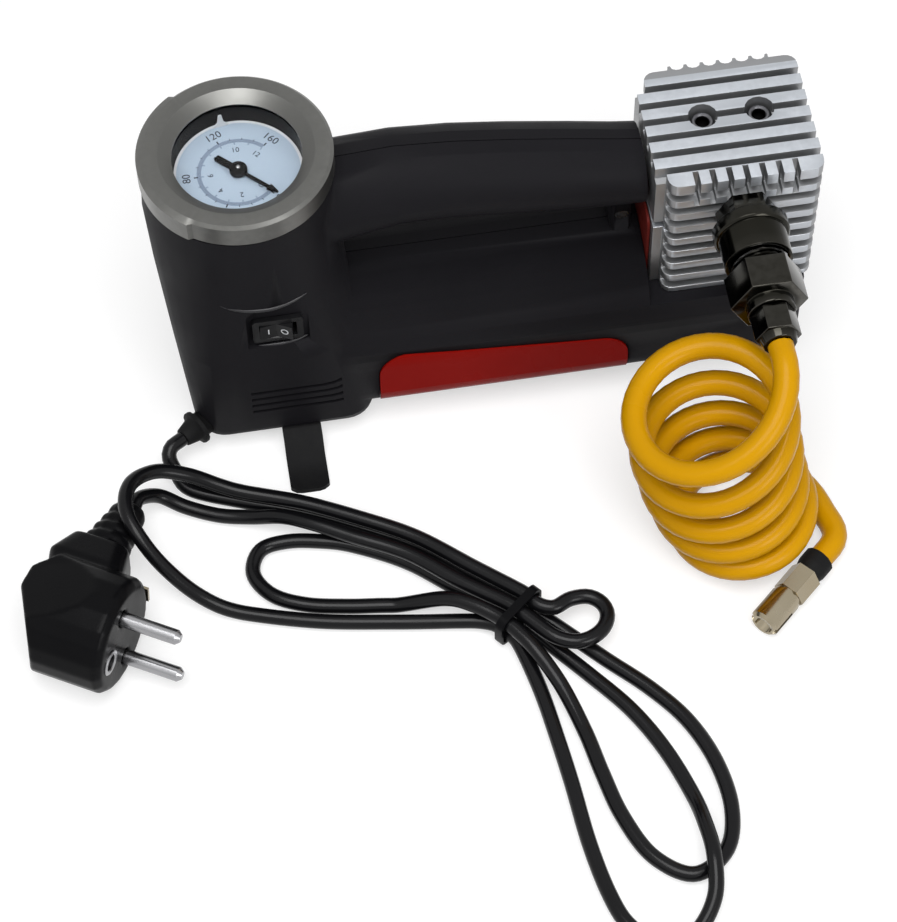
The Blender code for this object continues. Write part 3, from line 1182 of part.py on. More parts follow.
def build_piston(pin):
    """Make the one-piece piston and rod at the top of its stroke, with bearing, cup and retainer."""
    crown = BLOCK_TOP - TOP_CLEARANCE
    retainer_low = crown - RETAINER_THICK
    cup_low = retainer_low - GAP - CUP_THICK
    disc_top = cup_low - GAP
    disc_low = disc_top - PISTON_THICK
    radius = BORE_RADIUS - PISTON_CLEARANCE
    centre = (HEAD_X, CYLINDER_Y, 0.0)
    origin = (HEAD_X, CYLINDER_Y, pin[2])
    eye_low, eye_high = HEAD_X - BIG_END_WIDTH / 2, HEAD_X + BIG_END_WIDTH / 2
    disc = rod(radius - LAP, disc_low, disc_top, ROUND, centre=centre)
    piston = solid("piston_rod", disc, "cast_aluminium", origin)
    join(piston, box((HEAD_X - ROD_THICK / 2, CYLINDER_Y - ROD_WIDTH / 2, pin[2] + BIG_END_BEARING),
                     (HEAD_X + ROD_THICK / 2, CYLINDER_Y + ROD_WIDTH / 2, disc_low + CLEAR)))
    eye = (0, CYLINDER_Y, pin[2])
    join(piston, rod(BIG_END_RADIUS, eye_low, eye_high, 24, "X", eye))
    cut(piston, rod(BIG_END_BEARING + GAP / 2, eye_low - CUT, eye_high + CUT, 24, "X", eye))
    bearing = ring(BIG_END_BEARING, CRANK_PIN_RADIUS + GAP, eye_low, eye_high, 24, "X", eye)
    solid("big_end_bearing", bearing, "steel", origin)
    solid("piston_cup", rod(radius, cup_low, cup_low + CUP_THICK, 28, centre=centre), "black_rubber", origin)
    solid("cup_retainer", rod(radius - 0.0020, retainer_low, crown, 24, centre=centre), "steel", origin)


# Cylinder

def fin_grooves(low, high, first_fin):
    """Return cutters for the grooves between the side fins that lie between two heights."""
    shapes = []
    half = HEAD_DEPTH / 2
    for k in range(SIDE_FINS):
        fin = first_fin - k * FIN_PITCH
        z0 = fin - FIN_PITCH + FIN_THICK / 2
        z1 = fin - FIN_THICK / 2
        z0, z1 = max(z0, low - CLEAR), min(z1, high + CLEAR)
        if z1 - z0 < 0.0004:
            continue
        for side in (-1, 1):
            ys = sorted((side * (half - SIDE_GROOVE), side * (half + CUT)))
            shapes.append(box((BLOCK_LEFT - CUT, ys[0], z0), (BLOCK_RIGHT + CUT, ys[1], z1)))
    return merged(shapes)


def casting_outline():
    """Return the plan of head and block: a finned square with a narrower flange on its left."""
    half = HEAD_DEPTH / 2
    r = HEAD_CORNER
    return (arc(BLOCK_RIGHT - r, -half + r, r, -90, 0, 4) + arc(BLOCK_RIGHT - r, half - r, r, 0, 90, 4)
            + arc(BLOCK_LEFT + r, half - r, r, 90, 180, 4)
            + [(BLOCK_LEFT, FLANGE_HALF), (FLANGE_LEFT, FLANGE_HALF), (FLANGE_LEFT, -FLANGE_HALF),
               (BLOCK_LEFT, -FLANGE_HALF)]
            + arc(BLOCK_LEFT + r, -half + r, r, 180, 270, 4))


def core_outline(inset):
    """Return the plan of gasket and valve plate, inside the fins' roots."""
    half = HEAD_DEPTH / 2 - SIDE_GROOVE - inset
    return rounded_outline(BLOCK_LEFT + inset, BLOCK_RIGHT - inset, -half, half, HEAD_CORNER, 4)


def screw_holes(radius, low, high):
    """Return cutters for the two head screws."""
    return merged([rod(radius, low, high, 12, centre=(HEAD_X + side * SCREW_SPREAD, SCREW_Y, 0))
                   for side in (-1, 1)])


def build_cylinder():
    """Make the block, its gaskets, the valve plate, the head and the head screws."""
    first_fin = HEAD_TOP - SIDE_FIN_DROP
    bore = (HEAD_X, CYLINDER_Y, 0.0)
    shank = SCREW_SHANK_RADIUS + GAP
    pocket_floor = HEAD_TOP - POCKET_DEPTH
    screw_end = pocket_floor - SCREW_GRIP

    block = solid("cylinder_block", prism(casting_outline(), BLOCK_BOTTOM, BLOCK_TOP), "cast_aluminium")
    cut(block, fin_grooves(BLOCK_BOTTOM, BLOCK_TOP, first_fin))
    cut(block, rod(BORE_RADIUS, BLOCK_BOTTOM - CUT, BLOCK_TOP + CUT, ROUND, centre=bore))
    cut(block, screw_holes(shank, screw_end - CLEAR, BLOCK_TOP + CUT))

    gasket = solid("head_gasket", prism(core_outline(LAP), GASKET_Z, GASKET_Z + GASKET_THICK), "black_rubber")
    cut(gasket, rod(BORE_RADIUS, GASKET_Z - CUT, GASKET_Z + CUT, 20, centre=bore))
    cut(gasket, screw_holes(shank, GASKET_Z - CUT, GASKET_Z + CUT))
    plate = solid("valve_plate", prism(core_outline(LAP), PLATE_Z, PLATE_Z + PLATE_THICK), "steel")
    cut(plate, rod(VALVE_PORT, PLATE_Z - CUT, PLATE_Z + CUT, 12, centre=bore))
    cut(plate, screw_holes(shank, PLATE_Z - CUT, PLATE_Z + CUT))
    build_head(first_fin, shank, pocket_floor)

    for side, name in ((-1, "head_screw_left"), (1, "head_screw_right")):
        seat = pocket_floor + GAP
        top = seat + SCREW_HEAD_HEIGHT
        profile = [(0.0, screw_end), (SCREW_SHANK_RADIUS, screw_end), (SCREW_SHANK_RADIUS, seat),
                   (SCREW_HEAD_RADIUS, seat), (SCREW_HEAD_RADIUS, top - FINE_EDGE),
                   (SCREW_HEAD_RADIUS - FINE_EDGE, top), (0.0, top)]
        place = (HEAD_X + side * SCREW_SPREAD, SCREW_Y, 0.0)
        screw = solid(name, turned(profile, SMALL_ROUND, centre=place), "steel")
        cut(screw, hexagon(SOCKET_RADIUS, top - SOCKET_DEPTH, top + CUT, centre=place))

    gasket_outline = rounded_outline(-RED_GASKET_HALF, RED_GASKET_HALF, BLOCK_BOTTOM, BLOCK_TOP,
                                     RED_GASKET_CORNER, 4)
    left = BARREL_END + GAP
    solid("block_gasket", prism(gasket_outline, left, left + RED_GASKET_THICK, "X"), "red_gasket")


def build_head(first_fin, shank, pocket_floor):
    """Make the head: top fins along X, side fins, castellated front, scalloped back, port and chamber."""
    head = solid("cylinder_head", prism(casting_outline(), HEAD_BOTTOM, HEAD_TOP), "cast_aluminium")
    cut(head, fin_grooves(HEAD_BOTTOM, HEAD_TOP, first_fin))
    half = HEAD_DEPTH / 2
    grooves = []
    groove = FIN_PITCH - TOP_FIN_THICK
    for k in range(TOP_FINS - 1):
        y = (k - (TOP_FINS - 2) / 2) * FIN_PITCH
        grooves.append(box((FLANGE_LEFT - CUT, y - groove / 2, HEAD_TOP - TOP_GROOVE),
                           (BLOCK_RIGHT + CUT, y + groove / 2, HEAD_TOP + CUT)))
    cut(head, merged(grooves))
    notch_low = HEAD_TOP - NOTCH_HEIGHT
    notches = []
    for k in range(NOTCH_COUNT):
        x = HEAD_X + (k - (NOTCH_COUNT - 1) / 2) * NOTCH_PITCH
        notches.append(box((x - NOTCH_WIDTH / 2, -half - CUT, notch_low),
                           (x + NOTCH_WIDTH / 2, -half + NOTCH_DEPTH, HEAD_TOP + CUT)))
    cut(head, merged(notches))
    pad = (NOTCH_COUNT - 1) / 2 * NOTCH_PITCH + RIB_THICK / 2
    join(head, box((HEAD_X - pad, half - TOP_FIN_THICK / 2, notch_low),
                   (HEAD_X + pad, half + RIB_REACH, HEAD_TOP - RIB_DROP)))
    scallops = []
    for k in range(NOTCH_COUNT - 1):
        x = HEAD_X + (k - (NOTCH_COUNT - 2) / 2) * NOTCH_PITCH
        scallops.append(rod(SCALLOP_RADIUS, notch_low - LAP, HEAD_TOP + CUT, 10,
                            centre=(x, half + RIB_REACH + RUNNING, 0)))
    cut(head, merged(scallops))
    for side in (-1, 1):
        cut(head, rod(POCKET_RADIUS, pocket_floor, HEAD_TOP + CUT, SMALL_ROUND,
                      centre=(HEAD_X + side * SCREW_SPREAD, SCREW_Y, 0)))
    cut(head, screw_holes(shank, HEAD_BOTTOM - CUT, HEAD_TOP))
    cut(head, rod(CHAMBER_RADIUS, HEAD_BOTTOM - CUT, HEAD_BOTTOM + CHAMBER_TOP, SMALL_ROUND,
                  centre=(HEAD_X, CYLINDER_Y, 0)))
    cut(head, rod(THREAD_RADIUS + GAP, -CYLINDER_Y, half + CUT, SMALL_ROUND, "-Y", (HEAD_X, 0, OUTLET_Z)))


# Outlet, coupler and hose

def helix(radius, pitch_low, pitch_high, turns, points_per_turn=9):
    """Return points of a helix between two heights about the Z axis."""
    count = turns * points_per_turn
    points = []
    for i in range(count + 1):
        a = 2 * math.pi * i / points_per_turn
        points.append(Vector((radius * math.cos(a), radius * math.sin(a),
                              pitch_low + (pitch_high - pitch_low) * i / count)))
    return points


def build_outlet():
    """Make the outlet valve with its spring, the nipple and the quick coupler on the hose."""
    seat = PLATE_Z + PLATE_THICK + GAP
    valve_top = seat + VALVE_THICK
    origin = (HEAD_X, CYLINDER_Y, seat)
    solid("outlet_valve", rod(VALVE_RADIUS, seat, valve_top, SMALL_ROUND, centre=(HEAD_X, CYLINDER_Y, 0)),
          "steel", origin)
    low = valve_top + GAP + SPRING_WIRE
    high = HEAD_BOTTOM + CHAMBER_TOP - GAP - SPRING_WIRE
    centre = Vector((HEAD_X, CYLINDER_Y, 0.0))
    coil = [centre + p for p in helix(SPRING_RADIUS, low, high, SPRING_TURNS)]
    tube("outlet_spring", coil, SPRING_WIRE, "steel", 0)

    axis = (HEAD_X, HEAD_FRONT, OUTLET_Z)
    hex_end = GAP + NIPPLE_HEX_LENGTH
    nipple = solid("outlet_nipple", hexagon(NIPPLE_HEX, GAP, hex_end, "-Y", axis), "gunmetal")
    join(nipple, rod(THREAD_RADIUS, -THREAD_LENGTH, 2 * GAP, SMALL_ROUND, "-Y", axis))
    stem = [(0.0, hex_end - LAP), (NIPPLE_NECK, hex_end - LAP), (NIPPLE_NECK, 0.0140),
            (NIPPLE_NECK - 0.0009, 0.0150), (NIPPLE_NECK - 0.0009, 0.0170), (NIPPLE_NECK, 0.0180),
            (NIPPLE_NECK, NIPPLE_REACH - EDGE), (NIPPLE_NECK - EDGE, NIPPLE_REACH), (0.0, NIPPLE_REACH)]
    join(nipple, turned(stem, SMALL_ROUND, "-Y", axis))

    spring_room = 2 * SLEEVE_SPRING_WIRE + 2 * RUNNING
    guide = BODY_RADIUS + RUNNING
    ring_end = SLEEVE_START + SLEEVE_RING_LENGTH
    sleeve = [(guide, SLEEVE_START), (SLEEVE_RING_RADIUS - FINE_EDGE, SLEEVE_START),
              (SLEEVE_RING_RADIUS, SLEEVE_START + FINE_EDGE), (SLEEVE_RING_RADIUS, ring_end - FINE_EDGE),
              (SLEEVE_RING_RADIUS - FINE_EDGE, ring_end), (SLEEVE_RADIUS, ring_end),
              (SLEEVE_RADIUS, SLEEVE_END), (BODY_RADIUS + spring_room, SLEEVE_END),
              (BODY_RADIUS + spring_room, ring_end + EDGE), (guide, ring_end + EDGE)]
    solid("coupler_sleeve", turned(sleeve, ROUND, "-Y", axis), "gunmetal", (HEAD_X, HEAD_FRONT, OUTLET_Z))
    build_coupler_body(axis)
    spring_low = ring_end + EDGE + GAP + SLEEVE_SPRING_WIRE
    spring_high = COUPLER_HEX_START - GAP - SLEEVE_SPRING_WIRE
    turn = Matrix.Translation(axis) @ Matrix.Rotation(math.radians(90), 4, "X")
    radius = BODY_RADIUS + RUNNING + SLEEVE_SPRING_WIRE
    coil = [turn @ p for p in helix(radius, spring_low, spring_high, SLEEVE_SPRING_TURNS, 16)]
    tube("coupler_spring", coil, SLEEVE_SPRING_WIRE, "steel", 0)


def build_coupler_body(axis):
    """Make the coupler's body, hollow over the nipple, with its hex, and the hose nut."""
    bore = NIPPLE_NECK + GAP
    tail_end = TAIL_START + COUPLER_TAIL_LENGTH
    front = rod(BODY_RADIUS, BODY_START, COUPLER_HEX_START + LAP, 24, "-Y", axis)
    body = solid("coupler_body", front, "gunmetal")
    join(body, hexagon(COUPLER_HEX, COUPLER_HEX_START, TAIL_START, "-Y", axis))
    join(body, rod(COUPLER_TAIL, TAIL_START - LAP, tail_end, 24, "-Y", axis))
    cut(body, rod(bore, BODY_START - CUT, NIPPLE_REACH + 0.0020, SMALL_ROUND, "-Y", axis))
    nut = solid("hose_nut", hexagon(NUT_HEX, NUT_START, NUT_END - 0.0025, "-Y", axis), "gunmetal")
    join(nut, turned([(0.0, NUT_END - 0.0030), (NUT_HEX * 0.84, NUT_END - 0.0030), (NUT_HEX * 0.72, NUT_END),
                      (0.0, NUT_END)], SMALL_ROUND, "-Y", axis))


def hose_point(turn):
    """Return the hose's middle at a count of turns up from the floor."""
    share = turn / HOSE_TURNS
    drift = share ** HOSE_DRIFT_POWER
    foot = Vector((HEAD_X + HOSE_FOOT_CENTRE[0], HOSE_FOOT_CENTRE[1]))
    head = Vector((HEAD_X - HOSE_HEAD_RADIUS, HEAD_FRONT - NUT_END - GAP - HOSE_LEAD))
    centre = foot.lerp(head, drift)
    radius = HOSE_FOOT_RADIUS + (HOSE_HEAD_RADIUS - HOSE_FOOT_RADIUS) * share
    a = 2 * math.pi * turn
    rise = OUTLET_Z - HOSE_FLOOR - HOSE_PITCH * HOSE_TURNS - HOSE_SIDE_LEAN * HOSE_HEAD_RADIUS
    z = HOSE_FLOOR + HOSE_PITCH * turn + rise * share ** HOSE_RISE_POWER
    z += share * radius * (HOSE_LEAN * math.sin(a) + HOSE_SIDE_LEAN * math.cos(a))
    return Vector((centre.x + radius * math.cos(a), centre.y + radius * math.sin(a), z))


def hose_route():
    """Return the hose's points from the nut, down the coil, to the ferrule."""
    start = Vector((HEAD_X, HEAD_FRONT - NUT_END - GAP, OUTLET_Z))
    points = [start, start + Vector((0.0, -HOSE_DIAMETER / 2, 0.0))]
    count = HOSE_TURNS * HOSE_POINTS
    points += [hose_point(HOSE_TURNS - i / HOSE_POINTS) for i in range(count + 1)]
    last = points[-1]
    points += [last + Vector(step) - Vector((0, 0, last.z)) for step in HOSE_TAIL]
    a = math.radians(HOSE_END_HEADING)
    points.append(points[-1] + HOSE_END * Vector((math.cos(a), math.sin(a), 0.0)))
    return points


def build_hose():
    """Make the coiled hose with its ferrule and the screw-on chuck."""
    points = hose_route()
    tube("hose_coil", points, HOSE_DIAMETER / 2, "yellow_hose", 1)
    print("hose least gap mm", round(1000 * least_gap(points, HOSE_DIAMETER, HOSE_POINTS // 2), 2))
    ahead = (points[-1] - points[-2]).normalized()
    turn = Matrix.Translation(points[-1]) @ ahead.to_track_quat("Z", "Y").to_matrix().to_4x4()
    ferrule = [(0.0, GAP), (FERRULE_RADIUS, GAP), (FERRULE_RADIUS, FERRULE_LENGTH * 0.6),
               (FERRULE_RADIUS * 0.86, FERRULE_LENGTH), (0.0, FERRULE_LENGTH)]
    solid("hose_ferrule", turned(ferrule, SMALL_ROUND), "black_rubber", turn=turn)
    start = FERRULE_LENGTH + GAP
    hex_end = start + CHUCK_HEX_LENGTH
    chuck = solid("tire_chuck", hexagon(CHUCK_HEX, start, hex_end), "brass", turn=turn)
    tip = hex_end + CHUCK_LENGTH
    barrel = turned([(0.0, hex_end - LAP), (CHUCK_RADIUS * 0.88, hex_end - LAP),
                     (CHUCK_RADIUS, hex_end + 2 * EDGE), (CHUCK_RADIUS, tip - EDGE),
                     (CHUCK_RADIUS - EDGE, tip), (0.0, tip)], SMALL_ROUND)
    bmesh.ops.transform(barrel, matrix=turn, verts=barrel.verts)
    join(chuck, barrel)
    mouth = rod(CHUCK_RADIUS * 0.62, hex_end + CHUCK_LENGTH * 0.4, tip + CUT)
    bmesh.ops.transform(mouth, matrix=turn, verts=mouth.verts)
    cut(chuck, mouth)
    slot = box((-2 * CUT, -CHUCK_SLOT / 2, hex_end + CHUCK_LENGTH * 0.35),
               (2 * CUT, CHUCK_SLOT / 2, tip + CUT))
    bmesh.ops.transform(slot, matrix=turn, verts=slot.verts)
    cut(chuck, slot)


# Mains cord and plug

def plug_axes():
    """Return the plug's pin direction and cord direction."""
    a = math.radians(PLUG_PIN_HEADING)
    pins = Vector((math.cos(a), math.sin(a), 0.0))
    level = Vector((-math.sin(a), math.cos(a), 0.0))
    dip = math.radians(PLUG_DIP)
    cord = level * math.cos(dip) - Vector((0, 0, math.sin(dip)))
    return pins, cord


def plug_matrix():
    """Return the plug's place: its Z along the pins, its Y along the cord."""
    pins, cord = plug_axes()
    side = cord.cross(pins)
    turn = Matrix((side, cord, pins)).transposed().to_4x4()
    return Matrix.Translation((*PLUG_CENTRE, PLUG_RADIUS + GAP)) @ turn


def relief_profile():
    """Return the ribbed strain relief's section from root to tip."""
    profile = [(0.0, 0.0), (RELIEF_ROOT_RADIUS, 0.0)]
    step = (RELIEF_LENGTH - 0.0040) / RELIEF_RIBS
    for k in range(RELIEF_RIBS):
        share = (k + 0.5) / RELIEF_RIBS
        radius = RELIEF_ROOT_RADIUS + (RELIEF_TIP_RADIUS - RELIEF_ROOT_RADIUS) * share
        z = 0.0020 + k * step
        profile += [(radius - RELIEF_RIB_HEIGHT, z + step * 0.15), (radius, z + step * 0.40),
                    (radius, z + step * 0.90)]
    return profile + [(RELIEF_TIP_RADIUS - RELIEF_RIB_HEIGHT, RELIEF_LENGTH), (0.0, RELIEF_LENGTH)]


def plug_shape(place):
    """Return the plug's body: a round face, a slanted back and a shoulder that narrows to the relief."""
    r = PLUG_RADIUS
    drum = [(0.0, -PLUG_BACK - CUT), (r, -PLUG_BACK - CUT), (r, PLUG_FRONT - PLUG_FACE_BEVEL),
            (r - PLUG_FACE_BEVEL, PLUG_FRONT), (0.0, PLUG_FRONT)]
    plug = solid("plug_body", turned(drum, PLUG_ROUND), "black_plastic")
    side = [(-r - LAP, PLUG_FRONT + LAP), (-r - LAP, -PLUG_HEEL), (PLUG_BACK_REACH[0], -PLUG_BACK),
            (PLUG_BACK_REACH[1], -PLUG_BACK), (r + LAP, -PLUG_STEP), (r + LAP, PLUG_FRONT + LAP)]
    combine(plug, solid("plug_side", prism(side, -2 * r, 2 * r, "X"), None), "INTERSECT")
    thin = [(r + LAP, PLUG_FRONT + LAP), (r + LAP, PLUG_TAPER), (PLUG_BACK_HALF, -PLUG_BACK - LAP)]
    plan = thin + [(-x, z) for x, z in reversed(thin)]
    combine(plug, solid("plug_plan", prism(plan, -2 * r, 2 * r, "Y"), None), "INTERSECT")
    rings = []
    for y, wide, deep in SHOULDER_RINGS:
        outline = rounded_outline(-wide, wide, -deep, deep, SHOULDER_CORNER, 3)
        rings.append([(x, y, z - RELIEF_SET_BACK) for x, z in outline])
    join(plug, loft(rings))
    lean = Matrix.Translation((0, RELIEF_ROOT, -RELIEF_SET_BACK)) @ Matrix.Rotation(math.radians(-90), 4, "X")
    relief = turned(relief_profile(), RELIEF_ROUND)
    bmesh.ops.transform(relief, matrix=lean, verts=relief.verts)
    join(plug, relief)
    plug.data.transform(place)
    return plug


def build_plug():
    """Make the angled plug: body with strain relief, two pins and the earth clip."""
    place = plug_matrix()
    front = PLUG_FRONT
    plug = plug_shape(place)
    low = front - PIN_SEAT - GAP
    seats = [rod(PIN_RADIUS + GAP, low, front + CUT, 16, centre=(side * PIN_HALF_SPREAD, 0, 0))
             for side in (-1, 1)]
    seats.append(rod(EARTH_RADIUS, front - EARTH_DEPTH, front + CUT, 16, centre=(0, -EARTH_OFFSET, 0)))
    clip_seat = PLUG_RADIUS - CLIP_THICK - GAP
    seats.append(box((-CLIP_WIDTH / 2 - GAP, clip_seat - GAP, front - CLIP_LENGTH - GAP),
                     (CLIP_WIDTH / 2 + GAP, PLUG_RADIUS + CUT, front + CUT)))
    tool = merged(seats)
    bmesh.ops.transform(tool, matrix=place, verts=tool.verts)
    cut(plug, tool)
    for side, name in ((-1, "plug_pin_upper"), (1, "plug_pin_lower")):
        tip = front + PIN_LENGTH
        pin = [(0.0, front - PIN_SEAT), (PIN_RADIUS, front - PIN_SEAT), (PIN_RADIUS, tip - 0.0014),
               (PIN_RADIUS * 0.55, tip), (0.0, tip)]
        solid(name, turned(pin, 16, centre=(side * PIN_HALF_SPREAD, 0, 0)), "steel", turn=place)
    clip = box((-CLIP_WIDTH / 2, clip_seat, front - CLIP_LENGTH),
               (CLIP_WIDTH / 2, clip_seat + CLIP_THICK, front))
    solid("plug_earth_clip", clip, "brass", turn=place)


def build_cord():
    """Make the mains cord from the gland, through the tied hank, to the plug, and its tie."""
    heading, corner, radius = gland_frame()
    start = corner + heading * (radius + GLAND_REACH + GAP)
    near = start + heading * CORD_STUB
    lead = start + heading * CORD_DIAMETER
    cord = plug_axes()[1]
    end = plug_matrix() @ Vector((0.0, RELIEF_ROOT + RELIEF_LENGTH + GAP, -RELIEF_SET_BACK))
    far = end + cord * CORD_STUB
    tail = end + cord * CORD_DIAMETER
    points = [start] + smooth_route([near, lead, *CORD_ROUTE, tail, far], CORD_SPACING) + [end]
    for point in points:
        point.z = max(point.z, FLOOR)
    tube("power_cord", points, CORD_DIAMETER / 2, "black_rubber", 1)
    print("cord length mm", round(1000 * sum((b - a).length for a, b in zip(points, points[1:]))))
    print("cord least gap mm", round(1000 * least_gap(points, CORD_DIAMETER, 5), 2))
    turn = (Matrix.Translation((*TIE_CENTRE, 0.0)) @ Matrix.Rotation(math.radians(TIE_HEADING), 4, "Z"))
    half = TIE_INNER_HALF
    outer = rounded_outline(-half - TIE_THICK, half + TIE_THICK, TIE_INNER_BOTTOM - TIE_THICK,
                            TIE_INNER_TOP + TIE_THICK, 0.0035, 5)
    inner = rounded_outline(-half, half, TIE_INNER_BOTTOM, TIE_INNER_TOP, 0.0026, 5)
    tie = solid("cord_tie", prism(outer, -TIE_WIDTH / 2, TIE_WIDTH / 2, "X"), "black_plastic", turn=turn)
    hole = prism(inner, -TIE_WIDTH, TIE_WIDTH, "X")
    bmesh.ops.transform(hole, matrix=turn, verts=hole.verts)
    cut(tie, hole)


def build_inside():
    """Make the power board and the air line."""
    x = GAUGE_X - COLUMN_BASE_LEFT + BOARD_INSET
    board = solid("power_board", box((x, BOARD_Y, BOARD_Z), (x + BOARD_LENGTH, BOARD_Y + BOARD_THICK,
                                                              BOARD_Z + BOARD_HEIGHT)), "circuit_green")
    face = BOARD_Y + LAP
    for dx, dz, wide, tall, deep in BOARD_PARTS:
        join(board, box((x + dx, face - deep, BOARD_Z + dz), (x + dx + wide, face, BOARD_Z + dz + tall)))
    tube("air_line", air_line_route(), AIR_LINE_RADIUS, "white_nylon", 1)


def main():
    """Clear the scene and build every piece."""
    for obj in list(bpy.data.objects):
        bpy.data.objects.remove(obj)
    build_housing()
    build_trim()
    build_gauge()
    build_switch()
    build_motor()
    build_crank()
    build_cylinder()
    build_outlet()
    build_hose()
    build_plug()
    build_cord()
    build_inside()


main()
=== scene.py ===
"""Dressed model of a portable tire inflator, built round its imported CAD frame."""

import json
import logging
import math
from dataclasses import dataclass, field
from enum import Enum
from typing import Callable, Iterable, Optional, Sequence, Union

import bmesh
import bpy
from mathutils import Matrix, Vector

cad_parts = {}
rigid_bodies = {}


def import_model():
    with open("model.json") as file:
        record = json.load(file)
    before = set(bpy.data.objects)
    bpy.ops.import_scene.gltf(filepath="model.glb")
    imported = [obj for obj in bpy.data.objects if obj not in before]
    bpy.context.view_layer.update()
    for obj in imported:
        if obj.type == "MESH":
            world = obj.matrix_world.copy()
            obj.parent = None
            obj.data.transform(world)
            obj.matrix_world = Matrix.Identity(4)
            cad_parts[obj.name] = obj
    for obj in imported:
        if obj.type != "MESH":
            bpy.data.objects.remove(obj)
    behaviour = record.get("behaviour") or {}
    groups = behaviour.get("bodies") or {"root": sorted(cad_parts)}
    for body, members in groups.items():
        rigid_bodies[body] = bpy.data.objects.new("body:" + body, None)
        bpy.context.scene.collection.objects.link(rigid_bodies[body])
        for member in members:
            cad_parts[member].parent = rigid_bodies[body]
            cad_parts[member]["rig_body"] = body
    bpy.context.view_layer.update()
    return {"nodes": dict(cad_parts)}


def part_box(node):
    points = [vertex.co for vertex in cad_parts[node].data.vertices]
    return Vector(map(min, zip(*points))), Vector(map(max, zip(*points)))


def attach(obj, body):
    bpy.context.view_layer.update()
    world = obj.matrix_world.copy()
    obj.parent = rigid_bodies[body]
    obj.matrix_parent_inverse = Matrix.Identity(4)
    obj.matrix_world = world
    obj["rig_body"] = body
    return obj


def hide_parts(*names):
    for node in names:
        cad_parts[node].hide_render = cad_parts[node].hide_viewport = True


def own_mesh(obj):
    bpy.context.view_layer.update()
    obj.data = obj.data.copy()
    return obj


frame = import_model()

LOG = logging.getLogger("inflator")
Point = tuple[float, float, float]
Colour = tuple[float, float, float]
Section = Sequence[tuple[float, float]]
Shape = bmesh.types.BMesh
Form = Union[Shape, bpy.types.Curve]
Node = bpy.types.Node
Object = bpy.types.Object
Socket = bpy.types.NodeSocket
Tree = bpy.types.NodeTree
BASE = "base"
# name of the per-face attribute that carries painted shade
PAINTED_SHADE = "painted_shade"
PRINCIPLED = "Principled BSDF"
MM = 0.001
MERGE = 2e-6
WHITE = (1.0, 1.0, 1.0, 1.0)
MIX_SHARE, MIX_FIRST, MIX_SECOND, MIX_RESULT = 0, 6, 7, 2


class Texture(Enum):
    """The kinds of surface that the finishes show."""

    MOULDED = "moulded"
    BRUSHED = "brushed"
    CAST = "cast"
    SMOOTH = "smooth"


def fill(tree: Tree, node: Node, inputs: dict) -> None:
    """Link or set a node's inputs.

    Args:
        tree: the node's tree.
        node: the node.
        inputs: a socket to link or a value to set, by the input's name or number.
    """
    for label, value in inputs.items():
        if isinstance(value, Socket):
            tree.links.new(value, node.inputs[label])
        else:
            node.inputs[label].default_value = value


def add_node(tree: Tree, kind: str, inputs: dict, **settings: object) -> Node:
    """Add a shader node.

    Args:
        tree: the tree to add to.
        kind: the node's type, less its first word.
        inputs: what its inputs get, as for fill.
        settings: the node's own properties.

    Returns:
        The new node.
    """
    node = tree.nodes.new("ShaderNode" + kind)
    for label, value in settings.items():
        setattr(node, label, value)
    fill(tree, node, inputs)
    return node


def noise(tree: Tree, vector: Socket, scale: float, detail: float, size: Optional[Socket] = None) -> Socket:
    """Add a noise texture.

    Args:
        tree: the tree to add to.
        vector: where the texture is read.
        scale: its scale.
        detail: its octaves.
        size: an optional socket that multiplies the scale.

    Returns:
        The noise value's socket.
    """
    if size is not None:
        scale = add_node(tree, "Math", {0: size, 1: scale}, operation="MULTIPLY").outputs[0]
    return add_node(tree, "TexNoise", {"Vector": vector, "Scale": scale, "Detail": detail}).outputs["Fac"]


def mix(tree: Tree, share: Socket, first: object, second: object) -> Socket:
    """Mix two colours, each a plain colour or a socket.

    Args:
        tree: the tree to add to.
        share: how much of the second colour shows.
        first: the first colour.
        second: the second colour.

    Returns:
        The mixed colour's socket.
    """
    a, b = (colour if isinstance(colour, Socket) else (*colour, 1.0) for colour in (first, second))
    mixed = add_node(tree, "Mix", {MIX_SHARE: share, MIX_FIRST: a, MIX_SECOND: b}, data_type="RGBA")
    return mixed.outputs[MIX_RESULT]


def new_group(name: str, outputs: Sequence[str], inputs: dict[str, float]) -> tuple[Tree, Node, Node]:
    """Start a node group that reads a vector and some values, and gives values.

    Args:
        name: the group's name.
        outputs: names of its outputs.
        inputs: defaults of its value inputs, by name.

    Returns:
        The tree, its input node and its output node.
    """
    tree = bpy.data.node_groups.new(name, "ShaderNodeTree")
    socket = tree.interface.new_socket
    socket("Vector", in_out="INPUT", socket_type="NodeSocketVector")
    for label, default in inputs.items():
        socket(label, in_out="INPUT", socket_type="NodeSocketFloat").default_value = default
    for label in outputs:
        socket(label, in_out="OUTPUT", socket_type="NodeSocketFloat")
    return tree, tree.nodes.new("NodeGroupInput"), tree.nodes.new("NodeGroupOutput")


def grain_group(brushed: bool) -> Tree:
    """Return the grain of a surface, built on first use: cloudy patches, and a pebble or drawn-out lines.

    Args:
        brushed: whether it shows lines.

    Returns:
        The node group.
    """
    name = "brushed_lines" if brushed else "moulded_grain"
    found = bpy.data.node_groups.get(name)
    if found is not None:
        return found
    tree, enter, leave = new_group(name, ("Patches", "Height"), {"Scale": 1.0})
    where, size = enter.outputs["Vector"], enter.outputs["Scale"]
    along, coarse, fine = where, (60.0, 4.0), (2600.0, 2.0)
    if brushed:
        along = add_node(tree, "Mapping", {"Vector": where, "Scale": (0.04, 1.0, 1.0)}).outputs["Vector"]
        coarse, fine = (90.0, 3.0), (2400.0, 3.0)
    fill(tree, leave, {"Patches": noise(tree, where, *coarse, size),
                       "Height": noise(tree, along, *fine, size)})
    return tree


